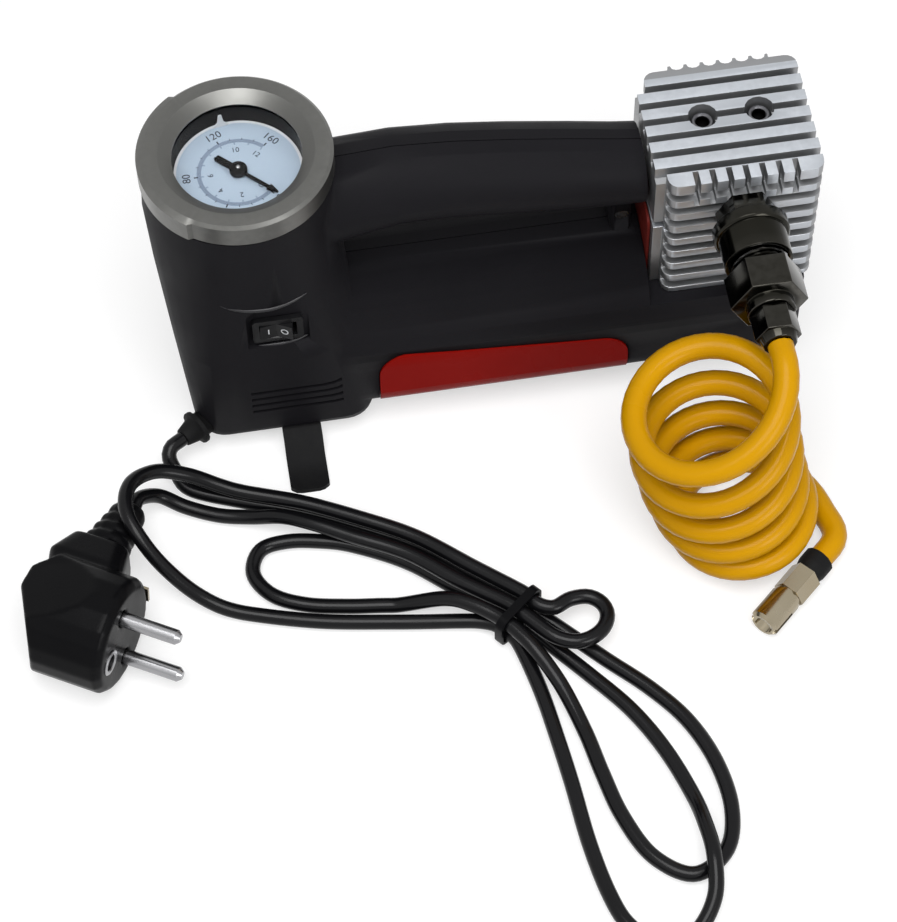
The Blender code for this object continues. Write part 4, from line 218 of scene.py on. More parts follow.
def wear_group() -> Tree:
    """Return the edge wear mask, built on first use: raised edges, broken up by noise."""
    found = bpy.data.node_groups.get("edge_wear")
    if found is not None:
        return found
    tree, enter, leave = new_group("edge_wear", ("Mask",), {"Low": 0.52, "High": 0.60})
    edges = tree.nodes.new("ShaderNodeNewGeometry").outputs["Pointiness"]
    ramp = add_node(tree, "MapRange", {"Value": edges, "From Min": enter.outputs["Low"],
                                       "From Max": enter.outputs["High"]})
    broken = noise(tree, enter.outputs["Vector"], 420.0, 3.0)
    mask = add_node(tree, "Math", {0: ramp.outputs["Result"], 1: broken}, operation="MULTIPLY")
    fill(tree, leave, {"Mask": mask.outputs[0]})
    return tree


@dataclass(frozen=True)
class Finish:
    """A material finish with its colour, its gloss and the grain that it shows."""

    name: str
    slot: str
    colour: Colour
    patch_colour: Colour
    roughness: float
    spread: float = 0.08
    metallic: float = 0.0
    texture: Texture = Texture.MOULDED
    scale: float = 1.0
    bump: float = 0.10
    specular: float = 0.5
    worn_colour: Optional[Colour] = None
    # colour of painted shade, mixed in by the per-face painted shade attribute
    hollow_colour: Optional[Colour] = None

    def material(self) -> bpy.types.Material:
        """Return the finish's material, built on first use."""
        return bpy.data.materials.get("finish_" + self.name) or self._build()

    def _build(self) -> bpy.types.Material:
        """Build the finish's material.

        Returns:
            The new material.
        """
        material = bpy.data.materials.new("finish_" + self.name)
        material.use_nodes = True
        material.diffuse_color = (*self.colour, 1.0)
        tree = material.node_tree
        place = tree.nodes.new("ShaderNodeTexCoord").outputs["Object"]
        grain = add_node(tree, "Group", {"Vector": place, "Scale": self.scale},
                         node_tree=grain_group(self.texture is Texture.BRUSHED)).outputs
        tint = mix(tree, grain["Patches"], self.colour, self.patch_colour)
        if self.worn_colour is not None:
            wear = add_node(tree, "Group", {"Vector": place}, node_tree=wear_group())
            tint = mix(tree, wear.outputs["Mask"], tint, self.worn_colour)
        # painted shade: the colour darkens towards the shade colour by the per-face attribute
        if self.hollow_colour is not None:
            painted_shade = add_node(tree, "Attribute", {}, attribute_name=PAINTED_SHADE)
            tint = mix(tree, painted_shade.outputs["Fac"], tint, self.hollow_colour)
        gloss = add_node(tree, "MapRange", {
            "Value": grain["Patches"], "From Min": 0.3, "From Max": 0.7,
            "To Min": max(self.roughness - self.spread, 0.02),
            "To Max": min(self.roughness + self.spread, 1.0)})
        shader = tree.nodes[PRINCIPLED]
        fill(tree, shader, {"Base Color": tint, "Roughness": gloss.outputs["Result"],
                            "Metallic": self.metallic, "Specular IOR Level": self.specular})
        if self.texture is not Texture.SMOOTH:
            bump = add_node(tree, "Bump", {"Strength": self.bump, "Distance": 0.0002,
                                           "Height": grain["Height"]})
            fill(tree, shader, {"Normal": bump.outputs["Normal"]})
        return material


class Palette:
    """Every finish on the inflator."""

    BLACK_PLASTIC = Finish(
        "black_plastic", "black_plastic", (0.0086, 0.0083, 0.0098), (0.0112, 0.0108, 0.0127), 0.50, 0.06,
        bump=0.22, specular=0.045)
    SWITCH_PLASTIC = Finish(
        "switch_plastic", "black_plastic", (0.0050, 0.0050, 0.0055), (0.0080, 0.0080, 0.0090), 0.30, 0.05,
        specular=0.20)
    RIDGE_PLASTIC = Finish(
        "ridge_plastic", "black_plastic", (0.0120, 0.0115, 0.0136), (0.0155, 0.0150, 0.0176), 0.30, 0.05,
        specular=0.30)
    RED_PLASTIC = Finish(
        "red_plastic", "red_plastic", (0.26, 0.0060, 0.0036), (0.21, 0.0045, 0.0028), 0.28, 0.05,
        texture=Texture.SMOOTH, specular=0.02)
    BLACK_PAINT = Finish(
        "black_paint", "black_paint", (0.0060, 0.0060, 0.0068), (0.0090, 0.0090, 0.0100), 0.36,
        bump=0.12, specular=0.025, worn_colour=(0.012, 0.012, 0.012))
    BLACK_RUBBER = Finish(
        "black_rubber", "black_rubber", (0.0060, 0.0060, 0.0062), (0.0100, 0.0100, 0.0104), 0.60, 0.10,
        bump=0.3, specular=0.08)
    CORD_RUBBER = Finish(
        "cord_rubber", "cord_rubber", (0.0030, 0.0030, 0.0036), (0.0046, 0.0046, 0.0054), 0.22, 0.06,
        bump=0.08, specular=0.18)
    PLUG_PLASTIC = Finish(
        "plug_plastic", "black_plastic", (0.0028, 0.0028, 0.0033), (0.0044, 0.0044, 0.0050), 0.30, 0.06,
        bump=0.08, specular=0.05)
    RED_GASKET = Finish(
        "red_gasket", "red_gasket", (0.13, 0.010, 0.006), (0.08, 0.007, 0.005), 0.62, 0.10,
        bump=0.3, specular=0.15)
    DIAL_WHITE = Finish(
        "dial_white", "white_dial", (0.35, 0.43, 0.52), (0.33, 0.41, 0.50), 0.45, 0.05,
        texture=Texture.SMOOTH, specular=0.2)
    DIAL_INK = Finish(
        "dial_ink", "black_paint", (0.020, 0.022, 0.030), (0.030, 0.034, 0.042), 0.55, 0.05,
        texture=Texture.SMOOTH, specular=0.1)
    DIAL_BLUE = Finish(
        "dial_blue", "white_dial", (0.16, 0.21, 0.28), (0.20, 0.25, 0.33), 0.55, 0.05,
        texture=Texture.SMOOTH, specular=0.1)
    NEEDLE_BLACK = Finish(
        "needle_black", "black_paint", (0.0040, 0.0040, 0.0044), (0.0060, 0.0060, 0.0065), 0.40, 0.05,
        texture=Texture.SMOOTH, specular=0.08)
    SATIN_SILVER = Finish(
        "satin_silver", "satin_silver", (0.130, 0.130, 0.124), (0.105, 0.105, 0.100), 0.36, 0.05, 0.95,
        Texture.BRUSHED, 0.8, 0.05, worn_colour=(0.20, 0.20, 0.19))
    # its darker second colour is painted shade in the castings' grooves, on their sides and on their back
    # strips
    ALUMINIUM = Finish(
        "cast_aluminium", "cast_aluminium", (0.45, 0.475, 0.51), (0.38, 0.40, 0.43), 0.42, 0.08, 0.85,
        Texture.CAST, 0.7, 0.20, worn_colour=(0.58, 0.61, 0.65), hollow_colour=(0.260, 0.262, 0.265))
    # its near-black second colour is painted shade inside the screw sockets
    SOCKET_STEEL = Finish(
        "socket_steel", "steel", (0.16, 0.16, 0.17), (0.12, 0.12, 0.13), 0.32, 0.08, 1.0,
        Texture.BRUSHED, 0.7, 0.06, hollow_colour=(0.004, 0.004, 0.004))
    GUNMETAL = Finish(
        "gunmetal", "gunmetal", (0.024, 0.023, 0.019), (0.014, 0.0135, 0.011), 0.15, 0.06, 1.0,
        Texture.BRUSHED, 0.6, 0.05, worn_colour=(0.12, 0.115, 0.105))
    STEEL = Finish(
        "steel", "steel", (0.36, 0.36, 0.37), (0.27, 0.27, 0.28), 0.24, 0.08, 1.0, Texture.BRUSHED, 0.7, 0.06)
    BRASS = Finish(
        "nickel_brass", "brass", (0.30, 0.25, 0.16), (0.36, 0.32, 0.25), 0.24, 0.08, 1.0,
        Texture.BRUSHED, 0.7, 0.06)
    COPPER = Finish(
        "copper", "copper", (0.50, 0.22, 0.10), (0.36, 0.15, 0.07), 0.38, 0.08, 1.0, Texture.BRUSHED, 0.7, 0.1)
    YELLOW_HOSE = Finish(
        "yellow_hose", "yellow_hose", (0.59, 0.290, 0.0012), (0.53, 0.255, 0.0009), 0.24, 0.05,
        texture=Texture.SMOOTH, specular=0.09)
    NYLON = Finish("white_nylon", "white_nylon", (0.66, 0.65, 0.60), (0.58, 0.57, 0.52), 0.50)
    BOARD = Finish("circuit_board", "circuit_green", (0.015, 0.10, 0.04), (0.03, 0.14, 0.06), 0.45, 0.10)
    # white of the switch marks, and of the painted highlight ring along the dial's edge
    PRINT_WHITE = Finish(
        "print_and_highlight_white", "white_dial", (0.62, 0.64, 0.66), (0.55, 0.57, 0.59), 0.50, 0.05,
        texture=Texture.SMOOTH, specular=0.2)


def show(name: str, data: bpy.types.ID) -> Object:
    """Put a new object with the given data into the scene."""
    obj = bpy.data.objects.new(name, data)
    bpy.context.scene.collection.objects.link(obj)
    return obj


def mesh_of(name: str, bm: Shape) -> bpy.types.Mesh:
    """Turn a shape, freed here, into a mesh."""
    mesh = bpy.data.meshes.new(name)
    bm.to_mesh(mesh)
    bm.free()
    return mesh


def piece(name: str, form: Form, finish: Finish, node: str = "", body: str = BASE,
          angle: float = 35.0) -> Object:
    """Make a finished piece.

    Args:
        name: the piece's name.
        form: its curve, or its shape, which is freed here.
        finish: its finish.
        node: the CAD node that it stands for, or nothing.
        body: the body that it rides on where it stands for no CAD node.
        angle: edges of a shape that are sharper than this, in degrees, stay sharp.

    Returns:
        The new object.
    """
    data = form
    if isinstance(form, Shape):
        bmesh.ops.remove_doubles(form, verts=form.verts, dist=MERGE)
        data = mesh_of(name, form)
        data.shade_smooth()
        data.set_sharp_from_angle(angle=math.radians(angle))
    data.materials.append(finish.material())
    obj = show(name, data)
    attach(obj, frame["nodes"][node]["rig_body"] if node else body)
    if node:
        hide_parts(node)
    LOG.info("made %s", name)
    return obj


def shape_of(node: str) -> Shape:
    """Return a merged copy of a CAD node's mesh with its flat faces whole."""
    bm = bmesh.new()
    bm.from_mesh(frame["nodes"][node].data)
    bmesh.ops.remove_doubles(bm, verts=bm.verts, dist=MERGE)
    bmesh.ops.dissolve_limit(bm, angle_limit=math.radians(0.4), verts=bm.verts, edges=bm.edges)
    return bm


def smooth_copy(node: str, finish: Finish, bevel: float = 0.0, angle: float = 35.0,
                painted_shade: Optional[Callable[[Vector, Vector], float]] = None,
                split: Optional[tuple[Point, Point]] = None) -> Object:
    """Replace a CAD node by a smooth copy, its sharp edges broken by a bevel.

    Args:
        node: the CAD node.
        finish: the copy's finish.
        bevel: width of the broken edges in metres, or 0 for none.
        angle: edges sharper than this, in degrees, are bevelled or stay sharp.
        painted_shade: how much shade is painted on a face, from 0 to 1, by its middle and its normal.
        split: a point and a normal of a plane along which faces are divided.

    Returns:
        The new object.
    """
    bm = shape_of(node)
    if bevel > 0.0:
        sharp = [e for e in bm.edges if e.is_manifold and e.calc_face_angle(0.0) > math.radians(angle)]
        bmesh.ops.bevel(bm, geom=sharp, offset=bevel, offset_type="OFFSET", segments=3, profile=0.5,
                        affect="EDGES", clamp_overlap=True, material=-1)
    if split is not None:
        bmesh.ops.bisect_plane(bm, geom=[*bm.verts, *bm.edges, *bm.faces], dist=1e-6, plane_co=split[0],
                               plane_no=split[1])
    # painted shade: each face gets a share of painted shade, stored for the finish to darken by
    if painted_shade is not None:
        layer = bm.loops.layers.float.new(PAINTED_SHADE)
        bm.normal_update()
        for face in bm.faces:
            for loop in face.loops:
                loop[layer] = painted_shade(face.calc_center_median(), face.normal)
    return piece(node + "_skin", bm, finish, node, angle=angle)


def dress(node: str, finish: Finish) -> None:
    """Give a CAD node that stays in view a finish."""
    materials = frame["nodes"][node].data.materials
    materials.clear()
    materials.append(finish.material())


def spun(profile: Section, steps: int, place: Matrix) -> Shape:
    """Spin a section of (radius, height) points about the Z axis and put it in place.

    Args:
        profile: the section, closed on itself or between two points on the axis.
        steps: steps round the turn.
        place: where the shape goes.

    Returns:
        The closed shape.
    """
    bm = bmesh.new()
    verts = [bm.verts.new((radius, 0.0, height)) for radius, height in profile]
    edges = [bm.edges.new(pair) for pair in zip(verts, verts[1:])]
    if profile[0][0] > 0.0:
        edges.append(bm.edges.new((verts[-1], verts[0])))
    bmesh.ops.spin(bm, geom=verts + edges, cent=(0, 0, 0), axis=(0, 0, 1), angle=2 * math.pi, steps=steps,
                   use_merge=True)
    bmesh.ops.remove_doubles(bm, verts=bm.verts, dist=1e-6)
    bmesh.ops.recalc_face_normals(bm, faces=bm.faces)
    bm.transform(place)
    return bm


def plate(outline: Section, thickness: float, place: Matrix) -> Shape:
    """Return a flat plate.

    Args:
        outline: its corners, anticlockwise.
        thickness: its height along Z.
        place: where it goes.

    Returns:
        The shape.
    """
    bm = bmesh.new()
    face = bm.faces.new([bm.verts.new((x, y, 0.0)) for x, y in outline])
    grown = bmesh.ops.extrude_face_region(bm, geom=[face])
    lifted = [item for item in grown["geom"] if isinstance(item, bmesh.types.BMVert)]
    bmesh.ops.translate(bm, verts=lifted, vec=(0.0, 0.0, thickness))
    bmesh.ops.recalc_face_normals(bm, faces=bm.faces)
    bm.transform(place)
    return bm


def lettering(text: str, size: float, depth: float, place: Matrix) -> Shape:
    """Return raised lettering as a shape.

    Args:
        text: what it reads.
        size: the letters' height in metres.
        depth: how far they stand proud.
        place: where their middle goes, letters facing +Z.

    Returns:
        The letters' shape.
    """
    curve = bpy.data.curves.new("lettering", "FONT")
    curve.body = text
    curve.size = size
    curve.extrude = depth / 2
    curve.align_x = curve.align_y = "CENTER"
    curve.resolution_u = 4
    obj = show("lettering", curve)
    bpy.context.view_layer.update()
    mesh = bpy.data.meshes.new_from_object(obj.evaluated_get(bpy.context.evaluated_depsgraph_get()))
    bm = bmesh.new()
    bm.from_mesh(mesh)
    bpy.data.objects.remove(obj)
    bpy.data.curves.remove(curve)
    bpy.data.meshes.remove(mesh)
    bm.transform(place)
    return bm


def gather(shapes: Iterable[Shape]) -> Shape:
    """Return one shape that holds all the given shapes, which are freed."""
    whole = bmesh.new()
    for shape in shapes:
        mesh = mesh_of("shape", shape)
        whole.from_mesh(mesh)
        bpy.data.meshes.remove(mesh)
    return whole


def smooth_route(points: Sequence[Sequence[float]], spacing: float, parts: int = 12) -> list[Vector]:
    """Return evenly spaced points on a smooth curve through the given points.

    Args:
        points: points that the curve passes through.
        spacing: distance between the returned points.
        parts: steps in which the curve between two points is worked out.

    Returns:
        The points, both ends included.
    """
    route = [Vector(p) for p in points]
    route = [2 * route[0] - route[1]] + route + [2 * route[-1] - route[-2]]
    fine = []
    for a, b, c, d in zip(route, route[1:], route[2:], route[3:]):
        for i in range(parts):
            t = i / parts
            fine.append(0.5 * (2 * b + (c - a) * t + (2 * a - 5 * b + 4 * c - d) * t ** 2
                               + (3 * b - a - 3 * c + d) * t ** 3))
    fine.append(route[-2])
    lengths = [0.0]
    for a, b in zip(fine, fine[1:]):
        lengths.append(lengths[-1] + (b - a).length)
    count = max(2, round(lengths[-1] / spacing))
    even, k = [], 0
    for i in range(count + 1):
        want = lengths[-1] * i / count
        while k < len(fine) - 2 and lengths[k + 1] < want:
            k += 1
        share = (want - lengths[k]) / max(lengths[k + 1] - lengths[k], 1e-9)
        even.append(fine[k].lerp(fine[k + 1], min(share, 1.0)))
    return even


def tube(name: str, points: Sequence[Vector], diameter: float, finish: Finish, node: str = "",
         taper: bool = False) -> Object:
    """Make a round tube that rides on the base.

    Args:
        name: the piece's name.
        points: the tube's middle line.
        diameter: its outer diameter.
        finish: its finish.
        node: the CAD node that it stands for, or nothing.
        taper: whether it thins out towards both ends.

    Returns:
        The curve object.
    """
    curve = bpy.data.curves.new(name, "CURVE")
    curve.dimensions = "3D"
    curve.bevel_depth = diameter / 2
    curve.bevel_resolution = 5
    curve.use_fill_caps = True
    spline = curve.splines.new("POLY")
    last = len(points) - 1
    spline.points.add(last)
    for index, (place, point) in enumerate(zip(spline.points, points)):
        place.co = (*point, 1.0)
        if taper:
            place.radius = 0.15 + 0.85 * math.sin(math.pi * index / last) ** 0.6
    spline.use_smooth = True
    return piece(name, curve, finish, node)


@dataclass
class Studio:
    """Camera, floor and light."""

    camera_at: Point = (-0.0887, -0.5636, 0.8317)
    camera_to: Point = (-0.0194, -0.0583, 0.0185)
    camera_roll: float = -1.39
    focal_pixels: float = 3060.44
    image_height: int = 922
    sensor: float = 36.0
    floor_reach: float = 6.0
    floor_colour: tuple[float, ...] = (0.50, 0.50, 0.50, 1.0)
    floor_lift: float = 0.55
    sky_level: float = 0.32
    middle: Point = (0.0, -0.06, 0.04)
    cylinder: Point = (0.06, -0.03, 0.06)

    def camera(self) -> None:
        """Stand the camera where the photograph was taken."""
        data = bpy.data.cameras.new("photo_camera")
        data.sensor_width = self.sensor
        data.lens = self.sensor * self.focal_pixels / self.image_height
        data.clip_start = 0.01
        obj = show("photo_camera", data)
        back = (Vector(self.camera_at) - Vector(self.camera_to)).normalized()
        right = Vector((0, 0, 1)).cross(back).normalized()
        roll = math.radians(self.camera_roll)
        across = right * math.cos(roll) + back.cross(right) * math.sin(roll)
        turn = Matrix((across, back.cross(across), back)).transposed().to_4x4()
        obj.matrix_world = Matrix.Translation(self.camera_at) @ turn
        bpy.context.scene.camera = obj

    def floor(self) -> None:
        """Lay a plain pale floor."""
        bm = bmesh.new()
        bmesh.ops.create_grid(bm, x_segments=1, y_segments=1, size=self.floor_reach)
        mesh = mesh_of("floor", bm)
        material = bpy.data.materials.new("pale_floor")
        material.use_nodes = True
        tree = material.node_tree
        fill(tree, tree.nodes[PRINCIPLED], {
            "Base Color": self.floor_colour, "Roughness": 0.9, "Specular IOR Level": 0.1,
            "Emission Color": WHITE, "Emission Strength": self.seen_directly(tree, 0.0, self.floor_lift)})
        mesh.materials.append(material)
        show("floor", mesh)

    @staticmethod
    def seen_directly(tree: Tree, unseen: float, seen: float) -> Socket:
        """Return a value that differs for rays that show the background: to the eye, in metal, through glass.

        Args:
            tree: the tree to add to.
            unseen: the value for the rays that light the object.
            seen: the value for the rays that show the background.

        Returns:
            The value's socket.
        """
        path = tree.nodes.new("ShaderNodeLightPath").outputs
        share = path["Is Camera Ray"]
        for label in ("Is Glossy Ray", "Is Transmission Ray"):
            share = add_node(tree, "Math", {0: share, 1: path[label]}, operation="MAXIMUM").outputs[0]
        level = add_node(tree, "MapRange", {"Value": share, "To Min": unseen, "To Max": seen})
        return level.outputs["Result"]

    def lamp(self, name: str, at: Point, to: Point, size: float, watts: float) -> None:
        """Hang a square soft lamp.

        Args:
            name: the lamp's name.
            at: where it hangs.
            to: where it points.
            size: its side.
            watts: its power.
        """
        data = bpy.data.lights.new(name, "AREA")
        data.shape = "SQUARE"
        data.size = size
        data.energy = watts
        obj = show(name, data)
        obj.location = at
        obj.rotation_euler = (Vector(at) - Vector(to)).to_track_quat("Z", "Y").to_euler()

    def light(self) -> None:
        """Light the object softly from above, with fills from the front left and the front right."""
        world = bpy.data.worlds.new("studio")
        world.use_nodes = True
        tree = world.node_tree
        fill(tree, tree.nodes["Background"], {
            "Color": WHITE, "Strength": self.seen_directly(tree, self.sky_level, 1.0)})
        bpy.context.scene.world = world
        bpy.context.scene.view_settings.view_transform = "Standard"
        self.lamp("key", (-0.15, -0.50, 1.50), self.middle, 1.0, 20.0)
        self.lamp("front_left", (-0.90, -0.80, 1.10), self.middle, 0.8, 0.6)
        self.lamp("front_right", (0.60, -1.10, 0.60), self.cylinder, 0.5, 5.5)

    def build(self) -> None:
        """Set up the whole studio."""
        self.camera()
        self.floor()
        self.light()


@dataclass
class MainsCord:
    """The tied mains cord with its plug."""

    diameter: float = 0.0048
    gap: float = 0.0003
    floor: float = 0.0027
    over: float = 0.0085
    tied: float = 0.0041
    tied_over: float = 0.0099
    spacing: float = 0.0015
    gland_heading: float = 215.0
    plug_heading: float = -30.0
    plug_dip: float = 8.0
    plug_centre: tuple[float, float] = (-0.1379, -0.0981)
    plug_radius: float = 0.0185
    plug_front: float = 0.0135
    relief_root: float = 0.0180
    relief_length: float = 0.0280
    relief_set_back: float = 0.0050
    stub: float = 0.0012
    earth_offset: float = 0.0100
    earth_radius: float = 0.0032
    plug_voxel: float = 0.0005
    plug_rounds: int = 16
    relief_flare: float = 0.0038
    flare_run: float = 0.008
    flare_depth: float = 0.006
    flare_loss: float = 0.8

    def waypoints(self) -> list[Point]:
        """Return the cord's way, listed in millimetres, from the gland, through the hank, to the plug."""
        f, o, t, u = (height / MM for height in (self.floor, self.over, self.tied, self.tied_over))
        way = [
            (-106, -36.5, 9), (-104.6, -40, 6.2), (-100.5, -46.2, 3.6), (-84, -53, f), (-67, -59.5, f),
            (-50, -68, f), (-33, -78, f), (-17, -92, 3.2), (-4.3, -103.3, t), (-1.7, -106.3, t),
            (0.9, -109.3, t), (8.5, -117, 3.3), (19, -128, f), (30, -139.5, f), (39, -152, f),
            (44.7, -167, f), (46.2, -183, f), (42, -196, f), (31, -202.2, f), (20, -194.5, f),
            (13.5, -180, f), (10.2, -165, f), (7.5, -150, f), (3, -135, 5), (-3, -123.7, 9),
            (-7.7, -116.7, u), (-10.3, -113.7, u), (-12.9, -110.7, u), (-19, -106, u), (-27.5, -101.4, o),
            (-43, -98, f), (-57, -96, f), (-70, -93.2, f), (-80, -88, f), (-84.8, -79.5, f),
            (-81.5, -71.5, f), (-73, -69.7, f), (-63, -71.2, f), (-52.6, -74.5, f), (-36.4, -83.5, f),
            (-21.6, -96.6, 3.2), (-8.6, -107, t), (-6, -110, t), (-3.4, -113, t), (3, -120.5, 3.3),
            (13, -132.5, f), (23, -146, f), (30.5, -161, f), (35.5, -177, 3.4), (36.8, -189, 7.2),
            (37, -200, 9), (35, -211.5, 5.5), (27.5, -220.5, f), (17, -222, f), (9, -215, f),
            (5, -204, f), (2.2, -187, f), (0.6, -167, f), (-1.2, -150, f), (-3, -136, f),
            (-5.5, -124, 3.4), (-7.7, -116.7, t), (-10.3, -113.7, t), (-12.9, -110.7, t), (-17.5, -108.5, 3.6),
            (-24, -107, 3.1), (-43, -104, f), (-67, -99.7, f), (-90, -92.8, f), (-102, -86.8, 6),
            (-112, -79, 14), (-118.5, -70, 20.5), (-121, -61, 22.6), (-118.5, -52, 21.5), (-110.5, -46.6, 17.8),
            (-100.5, -46.8, 13.2), (-91, -50.2, 9.6), (-84, -53, o), (-67, -59.5, o), (-50, -68, o),
            (-33, -78, o), (-17, -92, 9), (-4.3, -103.3, u), (-1.7, -106.3, u), (0.9, -109.3, u),
            (5.2, -110.6, 9.6), (10.5, -108.2, 9.1), (16.2, -108, 8.7), (19.9, -110.8, 8.6), (21, -115, 8.6),
            (19, -119.6, 8.8), (14.6, -122.6, 9.1), (9.2, -123.2, 9.4), (3.2, -120.4, 9.8), (-3.4, -113, u),
            (-6, -110, u), (-8.6, -107, u), (-21.6, -96.6, 9), (-36.4, -83.5, o), (-52.6, -74.5, o),
            (-64, -68, o), (-73, -63.2, 7.2), (-83, -59.6, 3.8), (-93, -56.6, f), (-103, -52.2, 3.4),
            (-110.8, -49, 7),
        ]
        return [(x * MM, y * MM, z * MM) for x, y, z in way]

    def plug_place(self) -> Matrix:
        """Return the plug's frame: Z along the pins, Y along the cord."""
        a = math.radians(self.plug_heading)
        dip = math.radians(self.plug_dip)
        pins = Vector((math.cos(a), math.sin(a), 0.0))
        cord = Vector((-math.sin(a) * math.cos(dip), math.cos(a) * math.cos(dip), -math.sin(dip)))
        turn = Matrix((cord.cross(pins), cord, pins)).transposed().to_4x4()
        return Matrix.Translation((*self.plug_centre, self.plug_radius + self.gap)) @ turn

    @staticmethod
    def gland_mouth(heading: Vector) -> Vector:
        """Return the middle of the gland's end.

        Args:
            heading: the direction in which the gland points.

        Returns:
            The mean of the gland's farthest vertices.
        """
        points = [v.co for v in frame["nodes"]["cord_gland"].data.vertices]
        far = max(p.dot(heading) for p in points)
        chosen = [p for p in points if p.dot(heading) > far - 1e-5]
        return sum(chosen, Vector()) / len(chosen)

    def line(self) -> list[Vector]:
        """Return the cord's middle line, straight for one diameter at both ends."""
        a = math.radians(self.gland_heading)
        heading = Vector((math.cos(a), math.sin(a), 0.0))
        start = self.gland_mouth(heading) + heading * self.gap
        place = self.plug_place()
        end = place @ Vector((0.0, self.relief_root + self.relief_length + self.gap, -self.relief_set_back))
        away = place.to_3x3() @ Vector((0.0, 1.0, 0.0))
        way = [start + heading * self.stub, start + heading * self.diameter, *self.waypoints(),
               end + away * self.diameter, end + away * self.stub]
        points = [start] + smooth_route(way, self.spacing) + [end]
        for point in points:
            point.z = max(point.z, self.floor)
        return points

    def rounded(self, bm: Shape) -> Shape:
        """Round all edges of a shape, by an even mesh that is smoothed.

        Args:
            bm: the shape, freed here.

        Returns:
            The rounded shape.
        """
        mesh = mesh_of("rounding", bm)
        obj = show("rounding", mesh)
        remesh = obj.modifiers.new("remesh", "REMESH")
        remesh.mode = "VOXEL"
        remesh.voxel_size = self.plug_voxel
        obj.modifiers.new("smooth", "SMOOTH").iterations = self.plug_rounds
        shape = bmesh.new()
        shape.from_object(obj, bpy.context.evaluated_depsgraph_get())
        bpy.data.objects.remove(obj)
        bpy.data.meshes.remove(mesh)
        return shape

    def plug(self) -> Object:
        """Make the plug: the CAD plug with rounded edges and a relief that flares towards the plug's back."""
        bm = shape_of("plug_body")
        place = self.plug_place()
        inverse = place.inverted()
        for vert in bm.verts:
            at = inverse @ vert.co
            past = at.y - self.relief_root
            rise = min(1.0, max(0.0, (past + self.flare_run) / self.flare_run))
            fall = 1.0 - self.flare_loss * max(0.0, past) / self.relief_length
            side = min(1.0, max(0.0, (-self.relief_set_back - at.z) / self.flare_depth))
            at.z -= self.relief_flare * rise * fall * side
            vert.co = place @ at
        return piece("plug_moulding", self.rounded(bm), Palette.PLUG_PLASTIC, "plug_body", angle=60.0)

    def earth_ring(self) -> Object:
        """Make the metal ring round the plug's earth hole."""
        inner, outer = self.earth_radius - 0.0006, self.earth_radius + 0.0009
        sunk, proud = -0.0020, 0.00045
        profile = [(inner, sunk), (outer, sunk), (outer, 0.00025), (outer - 0.0002, proud),
                   (inner + 0.0003, proud), (inner, 0.0002)]
        place = self.plug_place() @ Matrix.Translation((0.0, -self.earth_offset, self.plug_front))
        return piece("plug_earth_ring", spun(profile, 40, place), Palette.STEEL)

    def build(self) -> None:
        points = self.line()
        cord = tube("mains_cord", points, self.diameter, Palette.CORD_RUBBER, "power_cord")
        tie = smooth_copy("cord_tie", Palette.PLUG_PLASTIC)
        plug = self.plug()
        pins = [smooth_copy(node, Palette.STEEL) for node in ("plug_pin_upper", "plug_pin_lower")]
        clip = smooth_copy("plug_earth_clip", Palette.BRASS)
        self.earth_ring()


@dataclass
class AirHose:
    """The coiled air hose with its ferrule and chuck."""

    diameter: float = 0.0080
    turns: int = 5
    steps: int = 40
    pitch: float = 0.0086
    foot_radius: float = 0.0210
    head_radius: float = 0.0228
    foot_from_outlet: float = -0.0040
    foot_y: float = -0.0883
    lead: float = 0.0060
    lean: float = 0.221
    side_lean: float = 0.311
    rise_power: float = 2.6
    drift_power: float = 0.6
    floor: float = 0.0043
    gap: float = 0.0003
    tail: tuple[Point, ...] = (
        (0.0014, -0.0048, 0.0045), (0.0012, -0.0090, 0.0049), (-0.0008, -0.0124, 0.0054))
    tail_spacing: float = 0.0025
    end_run: float = 0.0060
    end_heading: float = -138.0

    def outlet(self) -> Vector:
        """Return the point where the hose leaves the nut."""
        low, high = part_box("hose_nut")
        return Vector(((low[0] + high[0]) / 2, low[1] - self.gap, (low[2] + high[2]) / 2))

    def coil_point(self, turn: float, outlet: Vector) -> Vector:
        """Return a point of the hose's middle line in the coil.

        Args:
            turn: turns up from the floor.
            outlet: where the hose leaves the nut.

        Returns:
            The point.
        """
        share = turn / self.turns
        foot = Vector((outlet.x + self.foot_from_outlet, self.foot_y))
        head = Vector((outlet.x - self.head_radius, outlet.y - self.lead))
        centre = foot.lerp(head, share ** self.drift_power)
        radius = self.foot_radius + (self.head_radius - self.foot_radius) * share
        a = 2 * math.pi * turn
        rise = outlet.z - self.floor - self.pitch * self.turns - self.side_lean * self.head_radius
        z = self.floor + self.pitch * turn + rise * share ** self.rise_power
        z += share * radius * (self.lean * math.sin(a) + self.side_lean * math.cos(a))
        return Vector((centre.x + radius * math.cos(a), centre.y + radius * math.sin(a), z))

    def line(self) -> list[Vector]:
        """Return the hose's middle line from the nut, down the coil, to the ferrule."""
        outlet = self.outlet()
        points = [outlet, outlet + Vector((0.0, -self.diameter / 2, 0.0))]
        count = self.turns * self.steps
        points += [self.coil_point(self.turns - i / self.steps, outlet) for i in range(count + 1)]
        last = points[-1].copy()
        tail = [last] + [last + Vector(step) - Vector((0, 0, last.z)) for step in self.tail]
        a = math.radians(self.end_heading)
        ahead = Vector((math.cos(a), math.sin(a), 0.0))
        tail += [tail[-1] + self.end_run * 0.8 * ahead, tail[-1] + self.end_run * ahead]
        return points[:-1] + smooth_route([points[-2], *tail], self.tail_spacing)[1:]

    def build(self) -> None:
        points = self.line()
        hose = tube("air_hose", points, self.diameter, Palette.YELLOW_HOSE, "hose_coil")
        ferrule = smooth_copy("hose_ferrule", Palette.BLACK_RUBBER)
        chuck = smooth_copy("tire_chuck", Palette.BRASS)


